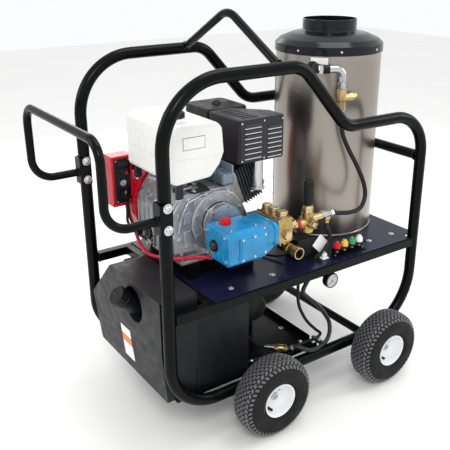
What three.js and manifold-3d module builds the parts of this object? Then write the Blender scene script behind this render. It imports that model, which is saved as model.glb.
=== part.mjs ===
// Hot-water pressure washer on a four-wheel tubular cart.
// Millimetres, +Z up, +X to the pump side, +Y to the heater end, ground at z = 0.
import * as THREE from 'three';
import { mergeVertices } from 'three/addons/utils/BufferGeometryUtils.js';
import Module from 'manifold-3d';

const wasm = await Module();
wasm.setup();

// ---- driving dimensions -------------------------------------------------
const Y_MID = 429.75;          // middle of the machine, front to rear, from the front upright
const GAP = 0.3;               // clearance between neighbouring pieces
const HALF_W = 262.8;          // side frame plane from the centre plane
const R_TUBE = 19;             // side frame tube radius
const Z_RAIL = 143, Z_TOP = 1136, Z_VALLEY = 934;
const Y_REAR = 1015;           // rear upright
const DECK_Z = 480;            // top of the deck plate
const R_WHEEL = 133.5, Y_WHEEL = [314, 812];
const X_TYRE_IN = 297, X_TYRE_OUT = 395;
const R_AXLE = 8;
const ENG_Z = 530;             // underside of the engine
const CRANK_Y = 285, CRANK_Z = 650;
const HEAT_X = -52, HEAT_Y = 848, HEAT_R = 183.5, HEAT_TOP = 1123;

// ---- helpers ------------------------------------------------------------
const V = (x, y, z) => new THREE.Vector3(x, y, z);
const root = new THREE.Group();
root.position.set(0, -Y_MID, 0);

function solid(geometry) {
  let g = geometry.clone();
  g.deleteAttribute('normal'); g.deleteAttribute('uv');
  g = mergeVertices(g, 1e-3);
  const idx = [...g.index.array];
  const make = (flip) => {
    const t = [];
    for (let i = 0; i < idx.length; i += 3) {
      const [a, b, c] = [idx[i], idx[i + 1], idx[i + 2]];
      if (a === b || b === c || a === c) continue;
      if (flip) t.push(a, c, b); else t.push(a, b, c);
    }
    return new wasm.Manifold(new wasm.Mesh({
      numProp: 3, vertProperties: new Float32Array(g.attributes.position.array), triVerts: new Uint32Array(t)
    }));
  };
  let vol = 0;
  const p = g.attributes.position, a = V(), b = V(), c = V();
  for (let i = 0; i < idx.length; i += 3) {
    a.fromBufferAttribute(p, idx[i]); b.fromBufferAttribute(p, idx[i + 1]); c.fromBufferAttribute(p, idx[i + 2]);
    vol += a.dot(b.cross(c));
  }
  return make(vol < 0);
}
const box = (x0, x1, y0, y1, z0, z1) =>
  solid(new THREE.BoxGeometry(x1 - x0, y1 - y0, z1 - z0).translate((x0 + x1) / 2, (y0 + y1) / 2, (z0 + z1) / 2));
function cyl(axis, c, r, h0, h1, seg = 20, r2 = r) {
  // axis 'x', 'y' or 'z'; c holds the two other coordinates in x, y, z order
  const g = new THREE.CylinderGeometry(r2, r, h1 - h0, seg);
  const m = (h0 + h1) / 2;
  if (axis === 'x') g.rotateZ(-Math.PI / 2).translate(m, c[0], c[1]);
  else if (axis === 'y') g.translate(c[0], m, c[1]);
  else g.rotateX(Math.PI / 2).translate(c[0], c[1], m);
  return solid(g);
}
function poly(pts) {
  const s = new THREE.Shape();
  pts.forEach(([u, v], i) => (i ? s.lineTo(u, v) : s.moveTo(u, v)));
  s.closePath();
  return s;
}
// polygon with its corners rounded by r (a number, or one radius per corner)
function roundPoly(pts, r, n = 3) {
  const out = [], N = pts.length;
  pts.forEach((p, i) => {
    const q = new THREE.Vector2(...p), a = new THREE.Vector2(...pts[(i + N - 1) % N]), b = new THREE.Vector2(...pts[(i + 1) % N]);
    const ra = Array.isArray(r) ? r[i] : r;
    if (!ra) { out.push([q.x, q.y]); return; }
    const u = a.clone().sub(q).normalize(), w = b.clone().sub(q).normalize();
    const half = Math.acos(Math.min(1, Math.max(-1, u.dot(w)))) / 2, d = ra / Math.tan(half);
    const s = q.clone().addScaledVector(u, d), e = q.clone().addScaledVector(w, d);
    const c = q.clone().addScaledVector(u.clone().add(w).normalize(), ra / Math.sin(half));
    const a0 = Math.atan2(s.y - c.y, s.x - c.x); let da = Math.atan2(e.y - c.y, e.x - c.x) - a0;
    while (da > Math.PI) da -= 2 * Math.PI; while (da < -Math.PI) da += 2 * Math.PI;
    for (let k = 0; k <= n; k++) out.push([c.x + ra * Math.cos(a0 + da * k / n), c.y + ra * Math.sin(a0 + da * k / n)]);
  });
  return poly(out);
}
// a shape drawn in (x,y), (y,z) or (x,z), pushed through along the third axis from h0 to h1
function prism(axis, shape, h0, h1) {
  const g = new THREE.ExtrudeGeometry(shape, { depth: h1 - h0, bevelEnabled: false, curveSegments: 6 });
  const m = new THREE.Matrix4();
  if (axis === 'z') m.makeBasis(V(1, 0, 0), V(0, 1, 0), V(0, 0, 1)).setPosition(0, 0, h0);
  if (axis === 'x') m.makeBasis(V(0, 1, 0), V(0, 0, 1), V(1, 0, 0)).setPosition(h0, 0, 0);
  if (axis === 'y') m.makeBasis(V(1, 0, 0), V(0, 0, 1), V(0, -1, 0)).setPosition(0, h1, 0);
  return solid(g.applyMatrix4(m));
}
// body of revolution; profile points are [along the axis, radius]
function turn(axis, c, profile, seg = 24) {
  const g = new THREE.LatheGeometry(profile.map(([h, r]) => new THREE.Vector2(r, h)), seg);
  if (axis === 'x') g.rotateZ(-Math.PI / 2).translate(0, c[0], c[1]);
  else if (axis === 'z') g.rotateX(Math.PI / 2).translate(c[0], c[1], 0);
  else g.translate(c[0], 0, c[1]);
  return solid(g);
}
// path of points whose corners are rounded; each entry is [x, y, z, radius]
function route(corners, closed = false, step = 15) {
  const P = corners.map((c) => V(c[0], c[1], c[2])), N = P.length, out = [];
  P.forEach((q, i) => {
    const r = corners[i][3] || 0;
    if ((!closed && (i === 0 || i === N - 1)) || !r) { out.push(q.clone()); return; }
    const u = P[(i + N - 1) % N].clone().sub(q).normalize(), w = P[(i + 1) % N].clone().sub(q).normalize();
    const half = u.angleTo(w) / 2, d = r / Math.tan(half), turnA = Math.PI - 2 * half;
    const s = q.clone().addScaledVector(u, d), c = q.clone().addScaledVector(u.clone().add(w).normalize(), r / Math.sin(half));
    const e1 = s.clone().sub(c).normalize(), e2 = u.clone().negate();
    const n = Math.max(2, Math.round(turnA * 180 / Math.PI / step));
    for (let k = 0; k <= n; k++) {
      const t = turnA * k / n;
      out.push(c.clone().addScaledVector(e1, r * Math.cos(t)).addScaledVector(e2, r * Math.sin(t)));
    }
  });
  return out;
}
class RingCurve extends THREE.Curve {
  constructor(points, closed) { super(); this.p = points; this.closed = closed; }
  getPoint(t, target = new THREE.Vector3()) {
    const n = this.closed ? this.p.length : this.p.length - 1, f = t * n, i = Math.min(Math.floor(f + 1e-9), n - (this.closed ? 0 : 1));
    const a = this.p[i % this.p.length], b = this.p[(i + 1) % this.p.length];
    return target.copy(a).lerp(b, Math.max(0, Math.min(1, f - i)));
  }
  getPointAt(t, target) { return this.getPoint(t, target); }
  getTangentAt(t, target = new THREE.Vector3()) {
    const L = this.p.length, n = this.closed ? L : L - 1, i = Math.round(t * n);
    const a = this.closed ? this.p[(i + L - 1) % L] : this.p[Math.max(0, i - 1)];
    const b = this.closed ? this.p[(i + 1) % L] : this.p[Math.min(L - 1, i + 1)];
    const q = this.p[i % L], u = q.clone().sub(a), w = b.clone().sub(q);
    if (u.length()) u.normalize(); if (w.length()) w.normalize();
    return target.copy(u.add(w)).normalize();
  }
  getTangent(t, target) { return this.getTangentAt(t, target); }
}
function tube(points, r, seg = 10, closed = false) {
  if (closed) return solid(new THREE.TubeGeometry(new RingCurve(points, true), points.length, r, seg, true));
  const s = new THREE.Shape();
  for (let k = 0; k < seg; k++) {
    const a = 2 * Math.PI * k / seg;
    k ? s.lineTo(r * Math.cos(a), r * Math.sin(a)) : s.moveTo(r, 0);
  }
  s.closePath();
  return solid(new THREE.ExtrudeGeometry(s, { steps: points.length - 1, extrudePath: new RingCurve(points, false), bevelEnabled: false }));
}
// a smooth hose through a few points
const smooth = (pts, n) => new THREE.CatmullRomCurve3(pts.map((p) => V(...p)), false, 'centripetal').getSpacedPoints(n);
const join = (...m) => m.reduce((a, b) => a.add(b));
function part(name, m, color, roughness, metalness) {
  const mesh = m.getMesh(), g = new THREE.BufferGeometry();
  g.setAttribute('position', new THREE.BufferAttribute(new Float32Array(mesh.vertProperties), 3));
  g.setIndex([...mesh.triVerts]);
  const o = new THREE.Mesh(g, new THREE.MeshStandardMaterial({ color, roughness, metalness }));
  o.name = name;
  root.add(o);
}
const BLACK = [0x141518, 0.35, 0.1], DECKBLUE = [0x1b2233, 0.35, 0.2], SILVER = [0xb9bcc0, 0.45, 0.8];
const WHITE = [0xf1f1ee, 0.3, 0.0], RED = [0xc4122a, 0.35, 0.0], BLUE = [0x2f9fd0, 0.35, 0.1], BRASS = [0xb89a5e, 0.4, 0.9];
const RUBBER = [0x26282a, 0.8, 0.0], STEEL = [0xc9cbcc, 0.3, 0.9], PLASTIC = [0x24262a, 0.55, 0.0];

// ---- side frames --------------------------------------------------------
const loop = (x) => route([
  [x, 0, Z_RAIL, 160], [x, 0, Z_TOP, 185], [x, 461, Z_TOP + 1, 90], [x, 648, Z_VALLEY, 90], [x, 1009, Z_VALLEY - 3, 140], [x, Y_REAR, Z_RAIL, 205]
], true, 16);
const loopR = tube(loop(HALF_W), R_TUBE, 10, true), loopL = tube(loop(-HALF_W), R_TUBE, 10, true);
const looseR = tube(loop(HALF_W), R_TUBE + GAP, 10, true), looseL = tube(loop(-HALF_W), R_TUBE + GAP, 10, true);
const clearOfLoops = (m) => m.subtract(looseR).subtract(looseL);
const axleHole = (x0, x1) => join(...Y_WHEEL.map((y) => cyl('x', [y, R_WHEEL], R_AXLE + GAP, x0, x1, 12)));
part('frame_right', loopR.subtract(axleHole(200, 320)), ...BLACK);
part('frame_left', loopL.subtract(axleHole(-320, -200)), ...BLACK);

// cross tubes that carry the axles, and the axles themselves
['front', 'rear'].forEach((n, i) => {
  const y = Y_WHEEL[i];
  part(`cross_tube_${n}`, clearOfLoops(cyl('x', [y, R_WHEEL], 15, -248, 248, 14)).subtract(cyl('x', [y, R_WHEEL], R_AXLE + GAP, -300, 300, 12)), ...BLACK);
  part(`axle_${n}`, join(cyl('x', [y, R_WHEEL], R_AXLE, -364, 364, 12), cyl('x', [y, R_WHEEL], 12.5, 352.5, 362, 6), cyl('x', [y, R_WHEEL], 12.5, -362, -352.5, 6)), ...STEEL);
});
// the rear bar saddles the back of the heater shell with a strap
const strap = cyl('z', [HEAT_X, HEAT_Y], HEAT_R + 4.6, 766, 794, 40).subtract(box(-400, 400, 500, 1000, 700, 900));
part('rear_bar', clearOfLoops(cyl('x', [1010, 780], 17, -262, 262, 14).add(strap)).subtract(cyl('z', [HEAT_X, HEAT_Y], HEAT_R + 0.6, 700, 900, 40)), ...BLACK);
part('lifting_arch', clearOfLoops(tube(route([[-HALF_W, 386, 1137], [0, 386, 1279, 80], [HALF_W, 386, 1137]], false, 12), 12.5, 10)), ...BLACK);

// deck: welded tube frame with a sheet steel top
const railBox = (s) => box(s * HALF_W - 15, s * HALF_W + 15, 10, 1005, 446.7, 476.7);
part('deck_frame', clearOfLoops(join(railBox(1), railBox(-1), box(-250, 250, 122, 152, 446.7, 476.7), box(-250, 250, 350, 380, 446.7, 476.7),
  box(-250, 250, 610, 640, 446.7, 476.7), box(-250, 250, 960, 990, 446.7, 476.7))), ...BLACK);
part('deck_plate', prism('z', poly([[-272, 150], [272, 150], [272, 990], [242, 990], [242, 1043], [-242, 1043], [-242, 990], [-272, 990]]), 477, DECK_Z)
  .subtract(cyl('z', [HEAT_X, HEAT_Y], 96, 470, 490, 20)).subtract(cyl('z', [209, 586], 15, 470, 490, 12)).subtract(cyl('z', [-150, 560], 12, 470, 490, 12)), ...DECKBLUE);

// lower tray between the bottom rails, under the tank and the burner
part('lower_tray', clearOfLoops(join(box(-241, 241, 30, 590, 157.5, 160.5), box(-241, 204, 587, 590, 160.4, 182), box(-243, -240, 30, 590, 157.5, 175), box(240, 243, 30, 590, 157.5, 175))), ...BLACK);

// push handle: bent tube welded to two channels that straddle the front uprights
const chan = (s) => box(s * HALF_W - 24, s * HALF_W + 24, -24.5, 13, 735, 822).subtract(box(s * HALF_W - 19.5, s * HALF_W + 19.5, -19.6, 20, 730, 830));
part('handle', join(tube(route([[HALF_W, -21, 773], [HALF_W, -171, 773, 68], [HALF_W, -171, 1010, 58], [-HALF_W, -171, 1010, 58], [-HALF_W, -171, 773, 68], [-HALF_W, -21, 773]], false, 15), 12.5, 10), chan(1), chan(-1)), ...BLACK);

// ---- wheels -------------------------------------------------------------
[['front_right', 1, 0], ['front_left', -1, 0], ['rear_right', 1, 1], ['rear_left', -1, 1]].forEach(([n, s, i]) => {
  const c = [Y_WHEEL[i], R_WHEEL];
  const f = (pts) => pts.map(([x, r]) => [s * x, r]);
  const rim = f([[284, 8.5], [352, 8.5], [352, 17], [348, 19], [348, 34], [360, 46], [374, 50], [388, 51.5], [390, 57.5], [384.5, 57.5], [384, 53.5], [306, 53.5], [306, 57.5], [302, 57.5], [302, 50.5], [348, 49.5], [342, 36], [342, 17], [284, 17], [284, 8.5]]);
  const tyre = f([[383.5, 54.6], [384, 59.5], [393, 66], [395, 90], [388, 117], [371, 130], [346, R_WHEEL], [321, 130], [304, 117], [297, 90], [299, 66], [307, 59.5], [307, 54.6], [383.5, 54.6]]);
  part(`rim_${n}`, turn('x', c, rim, 16), ...WHITE);
  part(`tyre_${n}`, turn('x', c, tyre, 22), ...RUBBER);
});

// ---- burner fuel tank in the front bay ------------------------------------
const tankFront = roundPoly([[-234, 162], [234, 162], [240, 345], [240, 512], [-84, 512], [-240, 352]], [8, 8, 0, 12, 25, 12], 2);
const filler = (() => { // recess and neck lean forward and up
  const c = V(34, -68.6, 444.4), d = V(0, -0.72, 0.69).normalize();
  const g = (r, a, b, seg) => { const q = new THREE.CylinderGeometry(r, r, b - a, seg); q.translate(0, (a + b) / 2, 0); q.applyQuaternion(new THREE.Quaternion().setFromUnitVectors(V(0, 1, 0), d)); q.translate(c.x, c.y + 42, c.z - 6); return solid(q); };
  return { g, c, d };
})();
let tank = prism('y', tankFront, -16, 108).add(box(-232, 232, 100, 303, 162, 440));
tank = tank.subtract(prism('x', poly([[-30, 150], [2, 150], [2, 162], [-16.5, 345], [-30, 345]]), -260, 260));
tank = tank.subtract(cyl('y', [70, 435], 58, -30, 45, 24)).add(filler.g(27, -75, 14, 16));
part('fuel_tank', tank, ...PLASTIC);
part('fuel_cap', filler.g(32, 14.4, 40, 16), 0x2b2d33, 0.5, 0);

// burner under the deck: fan drum, motor and blast tube to the heater
const burner = join(cyl('x', [430, 290], 92, -60, 20, 24), cyl('x', [430, 290], 46, 15, 105, 16), cyl('y', [-20, 372], 40, 440, 760, 16), box(-45, 5, 372, 488, 161, 215), box(-55, 15, 385, 475, 375, 440), box(-105, -58, 400, 460, 262, 322))
  .add(turn('z', [HEAT_X, HEAT_Y], [[330, 0], [330, 106], [476.4, 106], [476.4, 97], [340, 97], [340, 0]], 20)).subtract(cyl('z', [HEAT_X, HEAT_Y], 96.5, 341, 480, 20));
part('burner', burner, 0x1a1c1f, 0.5, 0.3);

// ---- engine ---------------------------------------------------------------
// the cylinder is drawn along +Y and leaned back
const lean = new THREE.Matrix4().makeRotationX(20 * Math.PI / 180).setPosition(0, 352, 712);
const leanBox = (x0, x1, s0, s1, h0, h1) => solid(new THREE.BoxGeometry(x1 - x0, s1 - s0, h1 - h0).translate((x0 + x1) / 2, (s0 + s1) / 2, (h0 + h1) / 2).applyMatrix4(lean));
part('engine_mounts', join(box(-150, 104, 165, 205, DECK_Z + GAP, ENG_Z - GAP), box(-150, 104, 375, 415, DECK_Z + GAP, ENG_Z - GAP), box(-145, -105, 200, 380, DECK_Z + GAP, 505), box(50, 90, 200, 380, DECK_Z + GAP, 505)), ...BLACK);
const caseShape = roundPoly([[128, ENG_Z + 12], [408, ENG_Z + 12], [408, 600], [392, 655], [338, 758], [165, 758], [122, 700]], [6, 6, 20, 30, 18, 25, 30], 3);
let crankcase = prism('x', caseShape, -145, 88).add(box(-148, 100, 140, 430, ENG_Z, ENG_Z + 16));
crankcase = join(crankcase, cyl('x', [CRANK_Y, CRANK_Z], 100, 80, 95, 28), cyl('y', [40, 600], 24, 108, 140, 14), cyl('y', [40, 600], 15, 96, 110, 10), cyl('y', [-60, 600], 24, 108, 140, 14))
  .subtract(cyl('x', [CRANK_Y, CRANK_Z], 13, -300, 300, 16));
crankcase = crankcase.add(leanBox(-68, 50, -30, 50, -62, 58)).subtract(cyl('x', [CRANK_Y, CRANK_Z], 13, -300, 300, 16));
part('crankcase', crankcase, ...SILVER);
// inclined cylinder with cooling fins and head
let barrel = leanBox(-58, 40, 50.4, 130, -48, 48);
for (let k = 0; k < 6; k++) barrel = barrel.add(leanBox(-74, 56, 52 + k * 12.5, 57 + k * 12.5, -66, 64));
barrel = barrel.add(leanBox(-66, 46, 124, 146, -55, 55));
part('cylinder', barrel, 0x2a2c2e, 0.55, 0.4);
// flywheel and crankshaft
part('crankshaft', join(cyl('x', [CRANK_Y, CRANK_Z], 12.5, -224, 121, 14), cyl('x', [CRANK_Y, CRANK_Z], 120, -216, -196, 24)), ...STEEL);
// blower housing with the pull-start dome
const fan = (r0, x0, x1, seg = 26) => cyl('x', [CRANK_Y, CRANK_Z], r0, x0, x1, seg);
let housing = fan(165, -236, -160).subtract(fan(156, -228, -150)).add(fan(88, -256, -230, 22)).subtract(fan(14, -230, -200, 16));
housing = housing.add(box(-240, -186, 58, 132, 656, 826)).subtract(fan(156, -228, -150));
part('fan_housing', housing.subtract(box(-236, -185, 66, 124, 666, 818)), ...RED);
part('control_box', box(-235.6, -183, 66.4, 123.6, 666.4, 817.6).subtract(fan(165.4, -300, -100)), ...PLASTIC);
part('engine_switch', cyl('x', [95, 700], 11, -182.6, -172, 12).add(box(-178, -168, 92, 98, 686, 714)), 0x111111, 0.4, 0.1);
part('recoil_grip', join(box(-270, -254, 158, 182, 744, 804), cyl('x', [170, 774], 6, -255, -236.4, 10)), ...PLASTIC);
// engine fuel tank and cap
let etank = prism('x', roundPoly([[106, 880], [106, 803], [238, 811], [270, 846], [286, 882], [280, 958], [262, 976], [126, 982], [108, 962]], [20, 14, 20, 14, 14, 20, 16, 16, 14], 2), -160, 125);
part('engine_tank', etank, ...WHITE);
part('engine_tank_cap', turn('z', [30, 172], [[982.5, 0], [982.5, 30], [996, 32], [1003, 26], [1003, 0]], 18), 0x16181a, 0.4, 0.1);
// muffler guard with its exhaust pipe, and the air cleaner beside it
let muffler = prism('z', roundPoly([[-52, 345], [118, 345], [118, 522], [40, 522], [-52, 440]], 12, 2), 826, 964);
muffler = muffler.add(cyl('z', [84, 441], 18, 730, 830, 14)).add(cyl('z', [84, 441], 23, 724, 732, 14));
part('muffler', muffler, 0x3a3b3f, 0.55, 0.3);
part('air_cleaner', prism('z', roundPoly([[-226, 352], [-56, 352], [-56, 512], [-226, 512]], 22, 2), 850, 964).add(cyl('z', [-140, 420], 30, 812, 852, 14)), 0x1c1d20, 0.5, 0);
part('throttle_lever', cyl('z', [60, 215], 14, 762, 767, 12).add(box(54, 66, 150, 215, 762, 767)).add(cyl('z', [60, 150], 8, 762, 775, 10)), ...STEEL);

// ---- pump -------------------------------------------------------------------
let gearbox = join(fan(62, 95.6, 126, 22), box(96, 126, 225, 360, 575, 660)).subtract(fan(13, 60, 122, 14));
part('gearbox', gearbox, 0x1d1e20, 0.5, 0.4);
let pump = prism('y', roundPoly([[126.4, 563], [246, 563], [256, 574], [256, 652], [242, 668], [126.4, 668]], [6, 8, 8, 8, 12, 6], 2), 213, 345)
  .add(prism('y', roundPoly([[130, 598], [240, 598], [250, 608], [250, 648], [236, 662], [130, 662]], 6, 2), 340, 402));
pump = pump.add(prism('x', roundPoly([[250, 576], [350, 582], [350, 655], [250, 655]], 14, 3), 250, 264));
pump = pump.add(cyl('y', [176, 612], 19, 204, 214, 16));
pump = pump.subtract(cyl('x', [CRANK_Y, 612], 13, 100, 180, 14));
part('pump_body', pump, ...BLUE);
part('pump_shaft', cyl('x', [CRANK_Y, 612], 12.4, 126.5, 178, 12), ...STEEL);
part('pump_oil_cap', turn('z', [170, 258], [[668.4, 0], [668.4, 17], [674, 17], [676, 13], [690, 12], [690, 0]], 12), ...RED);
let manifold = box(130, 248, 402.4, 462, 590, 672);
for (const x of [150, 189, 228]) manifold = manifold.add(cyl('z', [x, 432], 18, 670, 694, 10)).add(cyl('y', [x, 640], 17, 455, 480, 10));
manifold = manifold.add(cyl('x', [432, 620], 17, 240, 262, 12)).add(cyl('y', [205, 620], 13, 455, 520, 12));
part('pump_manifold', manifold, ...BRASS);
let unloader = join(cyl('z', [205, 556], 20, 586, 678, 14), cyl('x', [556, 620], 15, 175, 240, 12), cyl('y', [205, 620], 14, 520.5, 570, 12), cyl('y', [205, 628], 13, 550, 615, 12));
unloader = join(unloader, cyl('y', [205, 628], 14, 612, 652, 6), cyl('z', [205, 640], 10, 600, 622, 8));
part('unloader', unloader, ...BRASS);
part('unloader_knob', turn('z', [205, 556], [[678.4, 0], [678.4, 14], [688, 18], [762, 18], [767, 14], [767, 0]], 14), 0x1b1c1f, 0.45, 0);
let inlet = join(cyl('z', [190, 478], 15, 545, 589.6, 12).subtract(box(150, 230, 440, 462.4, 500, 600)), cyl('x', [478, 547], 17, 165, 240, 12), cyl('x', [478, 547], 21, 238, 262, 8)).subtract(cyl('x', [478, 547], 11, 225, 300, 12));
part('inlet_fitting', inlet, ...BRASS);
part('switch_box', prism('x', roundPoly([[530, 480.4], [622, 480.4], [622, 530], [598, 552], [530, 552]], 6, 2), 128, 195), ...PLASTIC);

// ---- heater -----------------------------------------------------------------
part('heater_shell', turn('z', [HEAT_X, HEAT_Y], [[DECK_Z + 0.4, HEAT_R - 3], [DECK_Z + 0.4, HEAT_R], [HEAT_TOP - 3, HEAT_R], [HEAT_TOP - 3, HEAT_R - 3], [DECK_Z + 0.4, HEAT_R - 3]], 40), ...STEEL);
part('heater_cap', turn('z', [HEAT_X, HEAT_Y], [[1121, HEAT_R - 4], [1121, HEAT_R + 4], [1148, HEAT_R + 4], [1162, 172], [1180, 130], [1186, 93], [1226, 93], [1226, 90], [1184, 90], [1177, 128], [1159, 169], [1145, HEAT_R], [1121, HEAT_R - 4]], 30), 0x15171c, 0.3, 0.2);
const coilPts = [];
for (let k = 0; k <= 6 * 12; k++) { const a = 2 * Math.PI * k / 12; coilPts.push(V(HEAT_X + 150 * Math.cos(a), HEAT_Y + 150 * Math.sin(a), 600 + k * 6.3)); }
part('heater_coil', tube(coilPts, 13, 5), 0x2b2b2b, 0.6, 0.5);

// hot-water outlet fittings on the heater's near side
const fitX = HEAT_X + (HEAT_R + 34) * 0.875, fitY = HEAT_Y - (HEAT_R + 34) * 0.485;
part('heater_fittings', join(tube(route([[fitX - 40, fitY - 70, 1086], [fitX, fitY, 1086, 26], [fitX, fitY, 960]], false, 20), 12, 10), cyl('z', [fitX, fitY], 17, 985, 1020, 8), tube([V(fitX, fitY, 1002), V(fitX + 4, fitY + 58, 1002)], 13, 8)), ...BRASS);

// ---- hoses --------------------------------------------------------------------
const hoseA = smooth([[205, 652.8, 628], [205, 668, 627], [208, 695, 621], [216, 745, 616], [214, 789, 624], [206, 813, 657], [194, 816, 696], [176, 795, 760], [160, 768, 817], [146, 750, 868], [fitX - 1, fitY + 3, 915], [fitX, fitY, 945], [fitX, fitY, 959.4]], 26);
part('hose_pressure', tube(hoseA, 7.5, 8), ...RUBBER);
const hoseB = smooth([[205, 640, 599.2], [205, 640.5, 588], [207, 652, 564], [212, 655, 530], [217, 641, 509], [218, 617, 499], [213, 594, 487], [208, 585, 470], [208, 585, 436]], 16);
part('hose_bypass', tube(hoseB, 7, 8), ...RUBBER);

// under the deck: the bypass goes on to an in-line filter, and a fuel line runs beside it to the tank
const returnPts = smooth([[208, 585, 433.2], [208, 585, 425], [206, 562, 396], [205, 549, 366], [206, 574, 336], [206, 612, 300], [206, 650, 252], [210, 673, 210], [225, 664, 184], [245, 636, 172], [261, 603, 171], [269, 566, 171], [267, 538, 172], [258, 518, 179], [245, 503, 185.5], [232, 491, 181.5], [217, 476, 175.5]], 26);
const fuelPts = smooth([[200, 531, 440], [200, 531, 369], [200, 533, 338], [201, 541, 305], [202, 575, 243], [207, 612, 200], [213, 632, 178], [214, 605, 168], [214, 560, 168], [212, 500, 168], [209, 420, 169], [207, 340, 174], [207, 303.9, 178]], 22);
const clip = box(205, 262, 597, 607, 164.5, 176);
part('lower_hoses', join(tube(returnPts, 7.5, 8), tube(fuelPts, 5.5, 8), clip, tube([V(219, 478, 175.5), V(188, 447, 175.5)], 13, 8), tube([V(189, 448, 175.5), V(158, 417, 176)], 5, 8)), ...RUBBER);
// drain hose along the foot of the engine
const drainPts = smooth([[-196, 112, 655.2], [-195.5, 112.2, 640], [-193, 113, 625], [-182, 116, 600], [-163, 119, 566], [-139, 120, 531], [-105, 120, 517], [-67, 120, 515], [0, 120, 531], [50, 117, 550], [86, 117, 560], [101, 131, 561], [107, 165, 557], [112, 190, 555], [125, 215, 553], [140, 231, 551]], 26);
part('drain_hose', tube(drainPts, 6, 8), ...RED);

// ---- gauge, nozzle rack ---------------------------------------------------------
part('gauge', join(cyl('x', [617, 416], 27, 250, 274, 20), cyl('z', [250 + 8, 617], 7, 436, 446.3, 8)).subtract(cyl('x', [617, 416], 23, 271, 280, 20)), 0x101114, 0.4, 0.2);
part('gauge_needle', cyl('x', [617, 416], 3.5, 271.4, 273.2, 10).add(solid(new THREE.BoxGeometry(1.2, 2, 18).translate(0, 0, 9).rotateX(2.356).translate(272, 617, 416))), 0x111111, 0.5, 0);
let rack = box(226, 250, 650, 790, DECK_Z + 0.4, DECK_Z + 4).add(box(226, 250, 650, 790, 506, 510)).add(box(226, 230, 650, 790, DECK_Z + 3, 507));
const tips = [['red', 664, 0xc81830], ['yellow', 698, 0xe8c84a], ['green', 732, 0x2f8f5a], ['white', 766, 0xf4f4f4]];
for (const [, y] of tips) rack = rack.subtract(cyl('z', [238, y], 6.4, 500, 515, 10));
part('nozzle_rack', rack, ...STEEL);
for (const [n, y, col] of tips) part(`nozzle_${n}`, join(cyl('z', [238, y], 6, 494, 514, 8), cyl('z', [238, y], 12, 510.4, 526, 10), cyl('z', [238, y], 7, 525, 534, 8)), col, 0.4, 0);

export default root;
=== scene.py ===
# Hot-water pressure washer on a tubular cart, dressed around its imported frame.
import math

import bmesh
import bpy
from mathutils import Matrix, Quaternion, Vector


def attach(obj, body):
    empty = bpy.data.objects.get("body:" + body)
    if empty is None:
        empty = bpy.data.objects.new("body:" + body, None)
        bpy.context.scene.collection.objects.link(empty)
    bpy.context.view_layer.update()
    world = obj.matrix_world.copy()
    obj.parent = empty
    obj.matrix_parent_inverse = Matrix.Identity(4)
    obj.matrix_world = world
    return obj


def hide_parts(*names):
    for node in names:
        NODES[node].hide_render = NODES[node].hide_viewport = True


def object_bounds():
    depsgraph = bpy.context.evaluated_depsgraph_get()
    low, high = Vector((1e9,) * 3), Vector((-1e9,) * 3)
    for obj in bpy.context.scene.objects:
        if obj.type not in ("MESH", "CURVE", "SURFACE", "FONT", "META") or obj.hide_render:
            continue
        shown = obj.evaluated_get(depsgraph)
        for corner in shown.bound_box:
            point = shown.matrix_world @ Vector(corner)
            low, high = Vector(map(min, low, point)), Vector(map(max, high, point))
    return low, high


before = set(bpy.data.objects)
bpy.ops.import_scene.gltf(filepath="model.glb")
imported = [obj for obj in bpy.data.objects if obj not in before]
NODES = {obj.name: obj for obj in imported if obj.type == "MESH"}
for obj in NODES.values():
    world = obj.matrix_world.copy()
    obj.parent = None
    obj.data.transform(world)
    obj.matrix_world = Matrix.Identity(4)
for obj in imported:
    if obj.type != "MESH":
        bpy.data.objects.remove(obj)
cad_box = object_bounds()
S = 0.001
Y_MID = 429.75
pi = math.pi


def P(x, y, z):
    """A point of the design drawing (millimetres) as a place in the scene (metres)."""
    return Vector((x * S, (y - Y_MID) * S, z * S))


# ---------------------------------------------------------------- camera
def make_camera():
    az, el = math.radians(54.96), math.radians(21.3)
    back = Vector((math.sin(az) * math.cos(el), -math.cos(az) * math.cos(el), math.sin(el)))
    right = Vector((math.cos(az), math.sin(az), 0))
    up = back.cross(right)
    data = bpy.data.cameras.new("camera")
    data.sensor_width = 36.0
    data.lens = 677.41 / 450 * 36
    data.shift_x, data.shift_y = -0.02564, -0.0232
    data.clip_end = 60
    cam = bpy.data.objects.new("camera", data)
    m = Matrix((right, up, back)).transposed().to_4x4()
    m.translation = Vector((1.74749, -1.23700, 1.44253))
    cam.matrix_world = m
    bpy.context.scene.collection.objects.link(cam)
    bpy.context.scene.camera = cam


make_camera()


# ---------------------------------------------------------------- materials
def _val(nt, kind, **k):
    n = nt.nodes.new(kind)
    for a, b in k.items():
        setattr(n, a, b)
    return n


def lin(h):
    h = h.lstrip("#")
    out = []
    for i in (0, 2, 4):
        c = int(h[i:i + 2], 16) / 255
        out.append(c / 12.92 if c <= 0.04045 else ((c + 0.055) / 1.055) ** 2.4)
    return out


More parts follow.
